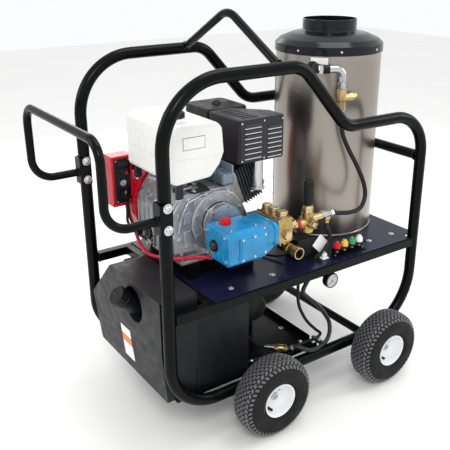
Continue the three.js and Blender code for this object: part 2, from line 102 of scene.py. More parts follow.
def finish_mat(name, color, rough=0.4, metal=0.0, mottle=0.1, mottle_scale=9.0, rough_amt=0.12, rough_scale=30.0,
               grain=500.0, bump=0.05, bump_dist=0.0004, stretch=(1, 1, 1), coat=0.0, spec=0.5, aniso=0.0,
               dust=0.0, dust_color=(0.45, 0.42, 0.38), edge_wear_and_highlight=0.0, edge_wear_and_highlight_color=(0.5, 0.5, 0.5), color2=None, kind="noise",
               spots=0.0, spots_color=(0.1, 0.1, 0.1), sheen=0.0):
    """One material builder: mottled colour, uneven gloss, fine grain, dust on top faces and lighter sharp edges (rubbed
    wear on most finishes, a painted highlight on the tyre tread).
    """
    m = bpy.data.materials.new(name)
    m.use_nodes = True
    nt = m.node_tree
    L = nt.links.new
    b = nt.nodes["Principled BSDF"]
    tc = _val(nt, "ShaderNodeTexCoord")
    mp = _val(nt, "ShaderNodeMapping")
    mp.inputs["Scale"].default_value = stretch
    L(tc.outputs["Object"], mp.inputs["Vector"])
    n1 = _val(nt, "ShaderNodeTexNoise")
    n1.inputs["Scale"].default_value = mottle_scale
    n1.inputs["Detail"].default_value = 6
    n1.inputs["Roughness"].default_value = 0.6
    L(mp.outputs["Vector"], n1.inputs["Vector"])
    col = lin(color) if isinstance(color, str) else list(color)
    c2 = lin(color2) if isinstance(color2, str) else (list(color2) if color2 else [max(0, c * (1 - mottle)) for c in col])
    c1 = [min(1, c * (1 + mottle)) for c in col] if not color2 else col
    ramp = _val(nt, "ShaderNodeValToRGB")
    ramp.color_ramp.elements[0].position, ramp.color_ramp.elements[1].position = 0.35, 0.65
    ramp.color_ramp.elements[0].color = (*c2, 1)
    ramp.color_ramp.elements[1].color = (*c1, 1)
    L(n1.outputs["Fac"], ramp.inputs["Fac"])
    out = ramp.outputs["Color"]
    if spots:
        v = _val(nt, "ShaderNodeTexNoise")
        v.inputs["Scale"].default_value = 160
        v.inputs["Detail"].default_value = 2
        L(tc.outputs["Object"], v.inputs["Vector"])
        r = _val(nt, "ShaderNodeValToRGB")
        r.color_ramp.elements[0].position, r.color_ramp.elements[1].position = 0.62, 0.7
        r.color_ramp.elements[1].color = (spots, spots, spots, 1)
        L(v.outputs["Fac"], r.inputs["Fac"])
        x = _val(nt, "ShaderNodeMix", data_type="RGBA")
        x.inputs[7].default_value = (*spots_color, 1)
        L(r.outputs["Color"], x.inputs[0])
        L(out, x.inputs[6])
        out = x.outputs[2]
    if dust:
        g = _val(nt, "ShaderNodeNewGeometry")
        sp = _val(nt, "ShaderNodeSeparateXYZ")
        L(g.outputs["Normal"], sp.inputs["Vector"])
        mr = _val(nt, "ShaderNodeMapRange")
        mr.inputs["From Min"].default_value, mr.inputs["From Max"].default_value = 0.3, 1.0
        mr.inputs["To Max"].default_value = dust
        L(sp.outputs["Z"], mr.inputs["Value"])
        dn = _val(nt, "ShaderNodeTexNoise")
        dn.inputs["Scale"].default_value = 22
        dn.inputs["Detail"].default_value = 8
        L(tc.outputs["Object"], dn.inputs["Vector"])
        mu = _val(nt, "ShaderNodeMath", operation="MULTIPLY")
        L(mr.outputs["Result"], mu.inputs[0])
        L(dn.outputs["Fac"], mu.inputs[1])
        x = _val(nt, "ShaderNodeMix", data_type="RGBA")
        x.inputs[7].default_value = (*dust_color, 1)
        L(mu.outputs["Value"], x.inputs[0])
        L(out, x.inputs[6])
        out = x.outputs[2]
    # lighter colour on sharp edges: rubbed wear on most finishes, a painted highlight on the tyre tread lugs
    if edge_wear_and_highlight:
        g2 = _val(nt, "ShaderNodeNewGeometry")
        r2 = _val(nt, "ShaderNodeValToRGB")
        r2.color_ramp.elements[0].position, r2.color_ramp.elements[1].position = 0.52, 0.6
        r2.color_ramp.elements[1].color = (edge_wear_and_highlight, edge_wear_and_highlight, edge_wear_and_highlight, 1)
        L(g2.outputs["Pointiness"], r2.inputs["Fac"])
        x = _val(nt, "ShaderNodeMix", data_type="RGBA")
        x.inputs[7].default_value = (*edge_wear_and_highlight_color, 1)
        L(r2.outputs["Color"], x.inputs[0])
        L(out, x.inputs[6])
        out = x.outputs[2]
    L(out, b.inputs["Base Color"])
    n2 = _val(nt, "ShaderNodeTexNoise")
    n2.inputs["Scale"].default_value = rough_scale
    n2.inputs["Detail"].default_value = 5
    L(mp.outputs["Vector"], n2.inputs["Vector"])
    rr = _val(nt, "ShaderNodeMapRange")
    rr.inputs["From Min"].default_value, rr.inputs["From Max"].default_value = 0.3, 0.7
    rr.inputs["To Min"].default_value = max(0.02, rough - rough_amt)
    rr.inputs["To Max"].default_value = min(1, rough + rough_amt)
    L(n2.outputs["Fac"], rr.inputs["Value"])
    L(rr.outputs["Result"], b.inputs["Roughness"])
    if kind == "voronoi":
        n3 = _val(nt, "ShaderNodeTexVoronoi")
        height = n3.outputs["Distance"]
    else:
        n3 = _val(nt, "ShaderNodeTexNoise")
        n3.inputs["Detail"].default_value = 3
        height = n3.outputs["Fac"]
    n3.inputs["Scale"].default_value = grain
    L(mp.outputs["Vector"], n3.inputs["Vector"])
    bp = _val(nt, "ShaderNodeBump")
    bp.inputs["Strength"].default_value = bump
    bp.inputs["Distance"].default_value = bump_dist
    L(height, bp.inputs["Height"])
    L(bp.outputs["Normal"], b.inputs["Normal"])
    b.inputs["Metallic"].default_value = metal
    b.inputs["Coat Weight"].default_value = coat
    b.inputs["Coat Roughness"].default_value = 0.08
    b.inputs["Specular IOR Level"].default_value = spec
    b.inputs["Anisotropic"].default_value = aniso
    b.inputs["Sheen Weight"].default_value = sheen
    return m


M = {}
M["frame"] = finish_mat("frame_black_powder", "#060708", 0.24, mottle=0.16, rough_amt=0.06, grain=1500, bump=0.07, spec=0.11, dust=0.004, edge_wear_and_highlight=0.04, edge_wear_and_highlight_color=(0.06, 0.06, 0.065))
M["weld"] = finish_mat("weld_bead", "#0b0c0d", 0.42, mottle=0.3, mottle_scale=160, grain=420, bump=0.5, bump_dist=0.001, spec=0.2)
M["deck"] = finish_mat("deck_navy_enamel", "#0c1230", 0.22, mottle=0.22, mottle_scale=6, rough_amt=0.08, rough_scale=12, grain=1200, bump=0.06, spec=0.16, dust=0.01, edge_wear_and_highlight=0.05, edge_wear_and_highlight_color=(0.1, 0.1, 0.16))
M["zinc"] = finish_mat("zinc_plate", "#c9cbcc", 0.3, metal=1.0, mottle=0.12, mottle_scale=140, rough_amt=0.12, rough_scale=180, grain=900, bump=0.06, spots=0.12, spots_color=(0.3, 0.28, 0.22))
M["steel"] = finish_mat("machined_steel", "#9b9da0", 0.34, metal=1.0, mottle=0.2, mottle_scale=80, grain=700, bump=0.1)
M["rim"] = finish_mat("rim_white_enamel", "#e6e8e8", 0.32, mottle=0.035, rough_amt=0.08, grain=900, bump=0.05, spec=0.35, dust=0.03, spots=0.05, spots_color=(0.35, 0.3, 0.25))
M["tyre"] = finish_mat("tyre_rubber", "#101011", 0.58, mottle=0.25, mottle_scale=26, rough_amt=0.12, grain=850, bump=0.25, bump_dist=0.0006, spec=0.2, edge_wear_and_highlight=0.25, edge_wear_and_highlight_color=(0.06, 0.06, 0.062), dust=0.02)
# tread: the lighter colour on the lug edges is a painted highlight
M["tread"] = finish_mat("tyre_tread_rubber", "#0f0f10", 0.4, mottle=0.35, mottle_scale=70, rough_amt=0.2, grain=600, bump=0.35, bump_dist=0.0006, spec=0.4, edge_wear_and_highlight=0.55, edge_wear_and_highlight_color=(0.2, 0.2, 0.21))
M["poly"] = finish_mat("tank_polyethylene", "#0f1013", 0.42, mottle=0.18, mottle_scale=7, rough_amt=0.1, grain=380, bump=0.2, bump_dist=0.0005, spec=0.22, edge_wear_and_highlight=0.15, edge_wear_and_highlight_color=(0.05, 0.05, 0.055), dust=0.03)
M["plastic"] = finish_mat("black_plastic", "#0c0c0e", 0.42, mottle=0.2, mottle_scale=24, grain=1300, bump=0.2, bump_dist=0.0003, spec=0.25, edge_wear_and_highlight=0.2, edge_wear_and_highlight_color=(0.06, 0.06, 0.06))
M["plastic_gloss"] = finish_mat("black_plastic_gloss", "#090a0b", 0.24, mottle=0.15, mottle_scale=30, rough_amt=0.08, grain=1500, bump=0.04, spec=0.3)
M["white"] = finish_mat("tank_white_enamel", "#e4e4e0", 0.26, mottle=0.03, mottle_scale=5, rough_amt=0.07, grain=1000, bump=0.04, spec=0.4)
M["red"] = finish_mat("cover_red_enamel", "#c20a24", 0.28, mottle=0.12, rough_amt=0.08, grain=1100, bump=0.05, spec=0.4, edge_wear_and_highlight=0.12, edge_wear_and_highlight_color=(0.6, 0.1, 0.14))
M["cast"] = finish_mat("cast_aluminium", "#9a9ca0", 0.4, metal=0.9, mottle=0.22, mottle_scale=34, rough_amt=0.14, rough_scale=70, grain=420, bump=0.35, bump_dist=0.0008, spots=0.2, spots_color=(0.12, 0.12, 0.13), edge_wear_and_highlight=0.45, edge_wear_and_highlight_color=(0.8, 0.8, 0.82))
M["fins"] = finish_mat("dark_cast_fins", "#1a1b20", 0.38, metal=0.4, mottle=0.3, mottle_scale=60, grain=500, bump=0.3, bump_dist=0.0007, spec=0.4, edge_wear_and_highlight=0.8, edge_wear_and_highlight_color=(0.24, 0.25, 0.28))
M["shroud"] = finish_mat("shroud_blue_grey", "#6f7f8e", 0.35, metal=0.4, mottle=0.16, mottle_scale=14, grain=700, bump=0.08, edge_wear_and_highlight=0.3, edge_wear_and_highlight_color=(0.5, 0.55, 0.6))
M["darksteel"] = finish_mat("heat_proof_dark", "#1b191f", 0.4, metal=0.1, mottle=0.22, mottle_scale=14, rough_amt=0.1, grain=900, bump=0.14, spec=0.25, edge_wear_and_highlight=0.3, edge_wear_and_highlight_color=(0.1, 0.1, 0.12), dust=0.03)
M["burner"] = finish_mat("burner_black", "#0b0c0e", 0.42, metal=0.1, mottle=0.3, mottle_scale=20, grain=500, bump=0.25, spec=0.25, edge_wear_and_highlight=0.3, edge_wear_and_highlight_color=(0.1, 0.1, 0.1))
M["pump"] = finish_mat("pump_blue_enamel", "#0f7db2", 0.24, mottle=0.2, mottle_scale=18, rough_amt=0.09, grain=520, bump=0.18, bump_dist=0.0008, coat=0.2, spec=0.4, edge_wear_and_highlight=0.35, edge_wear_and_highlight_color=(0.12, 0.5, 0.75))
M["redcap"] = finish_mat("red_plastic", "#c00c16", 0.3, mottle=0.14, mottle_scale=60, grain=1200, bump=0.08, spec=0.35)
M["brass"] = finish_mat("cast_brass", "#a98b50", 0.34, metal=1.0, mottle=0.3, mottle_scale=55, rough_amt=0.14, rough_scale=90, grain=420, bump=0.45, bump_dist=0.001, spots=0.5, spots_color=(0.1, 0.055, 0.02), edge_wear_and_highlight=0.5, edge_wear_and_highlight_color=(0.82, 0.7, 0.44))
M["chrome"] = finish_mat("bright_nickel", "#c3c5c7", 0.16, metal=1.0, mottle=0.08, mottle_scale=80, rough_amt=0.07, grain=700, bump=0.05)
M["stainless"] = finish_mat("stainless_sheet", "#9c958d", 0.28, metal=1.0, mottle=0.06, mottle_scale=2.2, rough_amt=0.06, rough_scale=4, grain=700, bump=0.03, bump_dist=0.0002, stretch=(1, 1, 0.35), edge_wear_and_highlight=0.1, edge_wear_and_highlight_color=(0.6, 0.58, 0.55))
M["captop"] = finish_mat("heater_cap_black", "#0a0d16", 0.22, mottle=0.25, mottle_scale=9, rough_amt=0.08, rough_scale=16, grain=900, bump=0.08, spec=0.3)
M["coil"] = finish_mat("coil_scale", "#3b342e", 0.65, metal=0.5, mottle=0.4, mottle_scale=40, grain=300, bump=0.6, bump_dist=0.001)
M["hose"] = finish_mat("hose_rubber", "#0e0f10", 0.42, mottle=0.22, mottle_scale=60, grain=1600, bump=0.35, bump_dist=0.0004, kind="voronoi", spec=0.3, edge_wear_and_highlight=0.15, edge_wear_and_highlight_color=(0.08, 0.08, 0.085))
M["hose_grey"] = finish_mat("hose_wire_braid", "#1c1d1f", 0.36, mottle=0.25, mottle_scale=50, grain=1400, bump=0.45, bump_dist=0.0004, kind="voronoi", spec=0.45)
M["drain"] = finish_mat("drain_hose_red", "#c41735", 0.34, mottle=0.16, mottle_scale=40, grain=1500, bump=0.22, kind="voronoi", spec=0.4)
M["label"] = finish_mat("blank_label", "#f4f4f1", 0.38, mottle=0.03, mottle_scale=30, grain=1500, bump=0.04, coat=0.2)
M["orange"] = finish_mat("orange_band", "#e0713a", 0.4, mottle=0.06, mottle_scale=40, grain=1500, bump=0.04)
M["ink"] = finish_mat("dial_ink", "#121316", 0.5, mottle=0.1, mottle_scale=90, grain=1500, bump=0.03)
M["dial"] = finish_mat("dial_white", "#edf1ef", 0.4, mottle=0.03, mottle_scale=60, grain=1500, bump=0.02)
M["yellow"] = finish_mat("nozzle_yellow_plastic", "#e3b53c", 0.35, mottle=0.1, mottle_scale=90, grain=1300, bump=0.1)
M["green"] = finish_mat("nozzle_green_plastic", "#2d9156", 0.35, mottle=0.1, mottle_scale=90, grain=1300, bump=0.1)
M["whiteplastic"] = finish_mat("nozzle_white_plastic", "#ececea", 0.35, mottle=0.04, mottle_scale=90, grain=1300, bump=0.08)
M["gasket"] = finish_mat("gasket_dark", "#08090a", 0.7, mottle=0.2, mottle_scale=90, grain=900, bump=0.2, spec=0.2)
M["wire"] = finish_mat("wire_sleeve", "#0a0b0c", 0.5, mottle=0.2, mottle_scale=90, grain=1500, bump=0.3, spec=0.25)
M["floor"] = finish_mat("floor_pale", "#f3f3f1", 0.75, mottle=0.012, mottle_scale=1.5, rough_amt=0.05, grain=60, bump=0.01)


def glass_mat(name, color, rough=0.05, alpha=1.0):
    m = finish_mat(name, color, rough, mottle=0.02, mottle_scale=40, rough_amt=0.02, grain=900, bump=0.01, coat=0.0)
    b = m.node_tree.nodes["Principled BSDF"]
    b.inputs["Transmission Weight"].default_value = 0.95
    b.inputs["IOR"].default_value = 1.4
    return m


M["glass"] = glass_mat("gauge_glass", "#f7f9f9")


# ---------------------------------------------------------------- geometry
def unit(v):
    v = Vector(v)
    return v.normalized() if v.length else v


AX = {"x": Vector((1, 0, 0)), "y": Vector((0, 1, 0)), "z": Vector((0, 0, 1)), "-x": Vector((-1, 0, 0)), "-y": Vector((0, -1, 0)), "-z": Vector((0, 0, -1))}


def basis(d):
    d = AX[d] if isinstance(d, str) else unit(d)
    a = Vector((0, 0, 1)) if abs(d.z) < 0.9 else Vector((0, 1, 0))
    u = a.cross(d).normalized()
    return u, d.cross(u).normalized(), d


def route(corners, closed=False, step=5):
    pts = [Vector(c[:3]) for c in corners]
    n, out = len(pts), []
    for i, q in enumerate(pts):
        r = corners[i][3] if len(corners[i]) > 3 else 0
        if (not closed and i in (0, n - 1)) or not r:
            out.append(q.copy())
            continue
        u, w = unit(pts[i - 1] - q), unit(pts[(i + 1) % n] - q)
        half = u.angle(w) / 2
        d, turn = r / math.tan(half), pi - 2 * half
        s = q + u * d
        c = q + unit(u + w) * (r / math.sin(half))
        e1, e2 = unit(s - c), -u
        k = max(2, round(math.degrees(turn) / step))
        out += [c + e1 * (r * math.cos(turn * j / k)) + e2 * (r * math.sin(turn * j / k)) for j in range(k + 1)]
    return out


def spline(pts, n):
    """Centripetal Catmull-Rom through pts, n+1 points evenly spaced along it."""
    p = [Vector(q) for q in pts]
    p = [p[0] * 2 - p[1]] + p + [p[-1] * 2 - p[-2]]
    dense = []
    for i in range(1, len(p) - 2):
        a, b, c, d = p[i - 1], p[i], p[i + 1], p[i + 2]
        t0, t1 = 0.0, (b - a).length ** 0.5
        t2 = t1 + (c - b).length ** 0.5
        t3 = t2 + (d - c).length ** 0.5
        for j in range(24):
            t = t1 + (t2 - t1) * j / 24
            A1 = a * ((t1 - t) / (t1 - t0)) + b * ((t - t0) / (t1 - t0))
            A2 = b * ((t2 - t) / (t2 - t1)) + c * ((t - t1) / (t2 - t1))
            A3 = c * ((t3 - t) / (t3 - t2)) + d * ((t - t2) / (t3 - t2))
            B1 = A1 * ((t2 - t) / (t2 - t0)) + A2 * ((t - t0) / (t2 - t0))
            B2 = A2 * ((t3 - t) / (t3 - t1)) + A3 * ((t - t1) / (t3 - t1))
            dense.append(B1 * ((t2 - t) / (t2 - t1)) + B2 * ((t - t1) / (t2 - t1)))
    dense.append(p[-2].copy())
    lens = [0.0]
    for a, b in zip(dense, dense[1:]):
        lens.append(lens[-1] + (b - a).length)
    out, k = [], 0
    for j in range(n + 1):
        t = lens[-1] * j / n
        while k < len(lens) - 2 and lens[k + 1] < t:
            k += 1
        f = (t - lens[k]) / max(1e-9, lens[k + 1] - lens[k])
        out.append(dense[k].lerp(dense[k + 1], min(1, max(0, f))))
    return out


def round_outline(pts, r, n=4):
    out, N = [], len(pts)
    for i, p in enumerate(pts):
        q, a, b = Vector(p), Vector(pts[i - 1]), Vector(pts[(i + 1) % N])
        ra = r[i] if isinstance(r, (list, tuple)) else r
        if not ra:
            out.append((q.x, q.y))
            continue
        u, w = (a - q).normalized(), (b - q).normalized()
        half = u.angle(w) / 2
        d = ra / math.tan(half)
        s, e = q + u * d, q + w * d
        c = q + (u + w).normalized() * (ra / math.sin(half))
        a0 = math.atan2(s.y - c.y, s.x - c.x)
        da = math.atan2(e.y - c.y, e.x - c.x) - a0
        while da > pi:
            da -= 2 * pi
        while da < -pi:
            da += 2 * pi
        out += [(c.x + ra * math.cos(a0 + da * k / n), c.y + ra * math.sin(a0 + da * k / n)) for k in range(n + 1)]
    return out


class Build:
    """Collects shapes in drawing millimetres into one finished object."""

    def __init__(self, name):
        self.name, self.v, self.f, self.mi, self.mats = name, [], [], [], []

    def add(self, verts, faces, mat):
        m = M[mat]
        if m not in self.mats:
            self.mats.append(m)
        k, base = self.mats.index(m), len(self.v)
        self.v += [Vector(v) for v in verts]
        self.f += [tuple(i + base for i in f) for f in faces]
        self.mi += [k] * len(faces)
        return self

    def tube(self, pts, r, mat="frame", seg=32, closed=False, caps=True, section=None):
        pts = [Vector(p) for p in pts]
        n = len(pts)
        tang = []
        for i in range(n):
            a = pts[i - 1] if (i or closed) else pts[i]
            b = pts[(i + 1) % n] if (i < n - 1 or closed) else pts[i]
            tang.append(unit(b - a))
        u, w, d = basis(tang[0])
        frames = [u]
        for i in range(1, n):
            q = tang[i - 1].rotation_difference(tang[i])
            u = q @ u
            frames.append(u)
        twist = 0.0
        if closed:
            q = tang[-1].rotation_difference(tang[0])
            u = q @ u
            a, b = frames[0], tang[0].cross(frames[0])
            twist = math.atan2(u.dot(b), u.dot(a))
        verts = []
        for i in range(n):
            u = Quaternion(tang[i], -twist * i / n) @ frames[i]
            w = tang[i].cross(u)
            ri = r(i / max(1, n - 1)) if callable(r) else r
            for k in range(seg):
                t = 2 * pi * k / seg
                rr = ri * (section(t, i) if section else 1)
                verts.append(pts[i] + u * (rr * math.cos(t)) + w * (rr * math.sin(t)))
        faces = []
        for i in range(n if closed else n - 1):
            j = (i + 1) % n
            for k in range(seg):
                l = (k + 1) % seg
                faces.append((i * seg + k, i * seg + l, j * seg + l, j * seg + k))
        if not closed and caps:
            faces.append(tuple(range(seg - 1, -1, -1)))
            faces.append(tuple((n - 1) * seg + k for k in range(seg)))
        return self.add(verts, faces, mat)

    def lathe(self, at, d, prof, mat, seg=48, sect=None):
        """prof: (along, radius) points, from one end to the other; ends off the axis are left open unless they meet."""
        u, w, d = basis(d)
        at = Vector(at)
        verts, rows = [], []
        for h, r in prof:
            if r <= 1e-6:
                rows.append([len(verts)] * seg)
                verts.append(at + d * h)
            else:
                row = []
                for k in range(seg):
                    t = 2 * pi * k / seg
                    rr = r * (sect(t, h, r) if sect else 1)
                    row.append(len(verts))
                    verts.append(at + d * h + u * (rr * math.cos(t)) + w * (rr * math.sin(t)))
                rows.append(row)
        faces = []
        for a, b in zip(rows, rows[1:]):
            for k in range(seg):
                l = (k + 1) % seg
                f = [a[k], a[l], b[l], b[k]]
                g = [x for i, x in enumerate(f) if x != f[i - 1]]
                if len(set(g)) >= 3:
                    faces.append(tuple(g))
        return self.add(verts, faces, mat)

    def bm(self, bm, mat, m=None):
        if m is not None:
            bmesh.ops.transform(bm, matrix=m, verts=bm.verts)
        bmesh.ops.recalc_face_normals(bm, faces=bm.faces)
        bm.verts.index_update()
        self.add([v.co.copy() for v in bm.verts], [[v.index for v in f.verts] for f in bm.faces], mat)
        bm.free()
        return self

    def box(self, x0, x1, y0, y1, z0, z1, mat, bev=2.0, seg=3, m=None, taper=None):
        bm = bmesh.new()
        bmesh.ops.create_cube(bm, size=1)
        for v in bm.verts:
            v.co = Vector(((x0 + x1) / 2 + v.co.x * (x1 - x0), (y0 + y1) / 2 + v.co.y * (y1 - y0), (z0 + z1) / 2 + v.co.z * (z1 - z0)))
            if taper and v.co.z > (z0 + z1) / 2:
                v.co.x = (x0 + x1) / 2 + (v.co.x - (x0 + x1) / 2) * taper
                v.co.y = (y0 + y1) / 2 + (v.co.y - (y0 + y1) / 2) * taper
        bev = min(bev, 0.45 * min(x1 - x0, y1 - y0, z1 - z0))
        if bev > 0:
            bmesh.ops.bevel(bm, geom=bm.edges[:], offset=bev, segments=seg, profile=0.5, affect="EDGES", clamp_overlap=True)
        return self.bm(bm, mat, m)

    def prism(self, axis, outline, h0, h1, mat, bev=1.5, seg=3, m=None):
        bm = bmesh.new()
        put = {"z": lambda a, b, h: (a, b, h), "x": lambda a, b, h: (h, a, b), "y": lambda a, b, h: (a, h, b)}[axis]
        lo = [bm.verts.new(put(a, b, h0)) for a, b in outline]
        hi = [bm.verts.new(put(a, b, h1)) for a, b in outline]
        n = len(outline)
        f0, f1 = bm.faces.new(lo), bm.faces.new(hi)
        for i in range(n):
            bm.faces.new((lo[i], lo[(i + 1) % n], hi[(i + 1) % n], hi[i]))
        bmesh.ops.recalc_face_normals(bm, faces=bm.faces)
        if bev > 0:
            es = list({e for f in (f0, f1) for e in f.edges})
            bmesh.ops.bevel(bm, geom=es, offset=bev, segments=seg, profile=0.5, affect="EDGES", clamp_overlap=True)
        return self.bm(bm, mat, m)

    def bolt(self, at, d, r=6.0, h=5.0, mat="zinc", washer=True, hexed=True, turn=0.0):
        at = Vector(at)
        dd = AX[d] if isinstance(d, str) else unit(d)
        h0 = 0.0
        if washer:
            self.lathe(at, dd, [(0, 0), (0, r * 1.75), (1.1, r * 1.85), (1.6, r * 1.75), (1.6, 0)], mat, 24)
            h0 = 1.6
        if hexed:
            self.lathe(at, dd, [(h0, 0), (h0, r * 1.12), (h0 + h * 0.85, r * 1.12), (h0 + h, r * 0.95), (h0 + h, r * 0.5), (h0 + h * 0.9, r * 0.45), (h0 + h * 0.9, 0)], mat, 6)
        else:
            self.lathe(at, dd, [(h0, 0), (h0, r), (h0 + h * 0.5, r * 0.95), (h0 + h * 0.85, r * 0.72), (h0 + h, r * 0.45), (h0 + h * 0.75, r * 0.4), (h0 + h * 0.7, 0)], mat, 20)
        return self

    def ring(self, at, d, R, r, mat, seg=48, rs=10, wob=0.0):
        u, w, d = basis(d)
        at = Vector(at)
        verts, faces = [], []
        for i in range(seg):
            t = 2 * pi * i / seg
            o = u * math.cos(t) + w * math.sin(t)
            rr = r * (1 + wob * math.sin(t * seg / 2.5))
            for k in range(rs):
                s = 2 * pi * k / rs
                verts.append(at + o * (R + rr * math.cos(s)) + d * (rr * math.sin(s)))
        for i in range(seg):
            j = (i + 1) % seg
            for k in range(rs):
                l = (k + 1) % rs
                faces.append((i * rs + k, j * rs + k, j * rs + l, i * rs + l))
        return self.add(verts, faces, mat)

    def done(self, body, *nodes, angle=34, slot=None, weighted=True):
        me = bpy.data.meshes.new(self.name)
        me.from_pydata([tuple(P(*v)) for v in self.v], [], self.f)
        for m in self.mats:
            me.materials.append(m)
        me.polygons.foreach_set("material_index", self.mi)
        me.update()
        bm = bmesh.new()
        bm.from_mesh(me)
        bmesh.ops.remove_doubles(bm, verts=bm.verts, dist=1e-6)
        bmesh.ops.recalc_face_normals(bm, faces=bm.faces)
        bm.to_mesh(me)
        bm.free()
        me.polygons.foreach_set("use_smooth", [True] * len(me.polygons))
        me.set_sharp_from_angle(angle=math.radians(angle))
        ob = bpy.data.objects.new(self.name, me)
        bpy.context.scene.collection.objects.link(ob)
        if weighted:
            w = ob.modifiers.new("weighted", "WEIGHTED_NORMAL")
            w.keep_sharp = True
        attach(ob, body)
        if nodes:
            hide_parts(*nodes)
        return ob


def refine(name, node, mat, body, bevel=1.5, seg=2, angle=30):
    """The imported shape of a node, cleaned up and with its edges eased."""
    me = NODES[node].data.copy()
    me.name = name
    me.materials.clear()
    me.materials.append(M[mat])
    bm = bmesh.new()
    bm.from_mesh(me)
    bmesh.ops.remove_doubles(bm, verts=bm.verts, dist=1e-5)
    bmesh.ops.dissolve_limit(bm, angle_limit=math.radians(1.5), verts=bm.verts, edges=bm.edges)
    for f in bm.faces:
        f.material_index = 0
        f.smooth = True
    bm.to_mesh(me)
    bm.free()
    me.set_sharp_from_angle(angle=math.radians(60))
    ob = bpy.data.objects.new(name, me)
    bpy.context.scene.collection.objects.link(ob)
    b = ob.modifiers.new("bevel", "BEVEL")
    b.width, b.segments, b.limit_method, b.angle_limit = bevel * S, seg, "ANGLE", math.radians(angle)
    b.miter_outer = "MITER_ARC"
    w = ob.modifiers.new("weighted", "WEIGHTED_NORMAL")
    w.keep_sharp = False
    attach(ob, body)
    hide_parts(node)
    return ob


C = "chassis"

# ---------------------------------------------------------------- hoses
def hose(name, pts, r, mat, body, node, near=None, far=None, cr=None, n=80, seg=20):
    b = Build(name)
    line = spline(pts, n)
    b.tube(line, r, mat, seg)
    ob = b.done(body, node, slot=None, weighted=False)
    return ob, line


HEAT_X, HEAT_Y, HEAT_R = -52, 848, 183.5
fitX, fitY = HEAT_X + (HEAT_R + 34) * 0.875, HEAT_Y - (HEAT_R + 34) * 0.485
pressure_pts = [(205, 652.8, 628), (205, 668, 627), (208, 695, 621), (216, 745, 616), (214, 789, 624), (206, 813, 657), (194, 816, 696), (176, 795, 760),
                (160, 768, 817), (146, 750, 868), (fitX - 1, fitY + 3, 915), (fitX, fitY, 945), (fitX, fitY, 959.4)]
bypass_pts = [(205, 640, 599.2), (205, 640.5, 588), (207, 652, 564), (212, 655, 530), (217, 641, 509), (218, 617, 499), (213, 594, 487), (208, 585, 470), (208, 585, 436)]
return_pts = [(208, 585, 433.2), (208, 585, 425), (206, 562, 396), (205, 549, 366), (206, 574, 336), (206, 612, 300), (206, 650, 252), (210, 673, 210), (225, 664, 184),
              (245, 636, 172), (261, 603, 171), (269, 566, 171), (267, 538, 172), (258, 518, 179), (245, 503, 185.5), (232, 491, 181.5), (217, 476, 175.5)]
fuel_pts = [(200, 531, 440), (200, 531, 369), (200, 533, 338), (201, 541, 305), (202, 575, 243), (207, 612, 200), (213, 632, 178), (214, 605, 168), (214, 560, 168),
            (212, 500, 168), (209, 420, 169), (207, 340, 174), (207, 303.9, 178)]
drain_pts = [(-196, 112, 655.2), (-195.5, 112.2, 640), (-193, 113, 625), (-182, 116, 600), (-163, 119, 566), (-139, 120, 531), (-105, 120, 517), (-67, 120, 515),
             (0, 120, 531), (50, 117, 550), (86, 117, 560), (101, 131, 561), (107, 165, 557), (112, 190, 555), (125, 215, 553), (140, 231, 551)]

hose_pressure, line_a = hose("hose_high_pressure", pressure_pts, 7.5, "hose", C, "hose_pressure", n=110)
hose_bypass, line_b = hose("hose_bypass_rubber", bypass_pts, 7.0, "hose", C, "hose_bypass", n=70)
hose_return, line_c = hose("hose_return_rubber", return_pts, 7.5, "hose_grey", C, "lower_hoses", n=110)
hose_fuel, line_d = hose("hose_fuel_line", fuel_pts, 5.5, "hose", C, "lower_hoses", n=90)
hose_drain, line_e = hose("hose_engine_drain", drain_pts, 6.0, "drain", C, "drain_hose", n=110)

# crimped ends, clips and the in-line filter
b = Build("hose_ends")
for at, d, r, full in ((line_a[0], line_a[0] - line_a[3], 10.6, 1), (line_a[-1], line_a[-1] - line_a[-4], 10.2, 1), (line_b[0], line_b[0] - line_b[3], 9.0, 0)):
    d = unit(d)
    prof = [(-24, r - 3.2), (-23.4, r - 1.4), (-22, r - 0.6)]
    for k in range(3):
        prof += [(-20 + k * 6, r - 0.4), (-19 + k * 6, r - 1.2), (-17.5 + k * 6, r - 1.2), (-16.5 + k * 6, r - 0.4)]
    prof += [(-3, r - 0.4), (-1.5, r - 1.2), (-1.5, r - 5)]
    b.lathe(at, d, [(-24, r - 3.4)] + prof, "hose" if not full else "darksteel", 28)
    if full:
        b.lathe(at, d, [(-12, 6), (-12, r + 2.6), (-10.6, r + 3.6), (-1, r + 3.6), (0.2, r + 2.4), (0.2, 6)], "zinc", 6)
for p, q in ((line_b[-14], line_b[-12]),):
    b.lathe(p, unit(q - p), [(-4, 7.4), (-4, 13), (-2, 14), (5, 14), (7, 13), (7, 7.4)], "gasket", 28)
for ln, k, r in ((line_c, 3, 8.2), (line_c, 106, 8.2), (line_d, 86, 6.2)):
    p, q = ln[k], ln[k + 1]
    d = unit(q - p)
    b.lathe(p, d, [(-4, r - 0.6), (-4, r + 0.3), (4, r + 0.3), (4, r - 0.6)], "zinc", 28)
    u, w, _ = basis(d)
    b.box(-4, 4, -3, 3, -4.2, 4.2, "zinc", 0.8, 2, Matrix.Translation(p + u * (r + 3)) @ Matrix((u, w, d)).transposed().to_4x4())
b.done(C)

b = Build("hose_clip")
b.prism("y", round_outline([(204.5, 163.6), (262, 163.6), (262, 178.6), (204.5, 178.6)], 4), 597, 607, "zinc", 0.8, 2)
b.bolt((238, 602, 178.4), "z", 4, 3.4)
b.done(C)

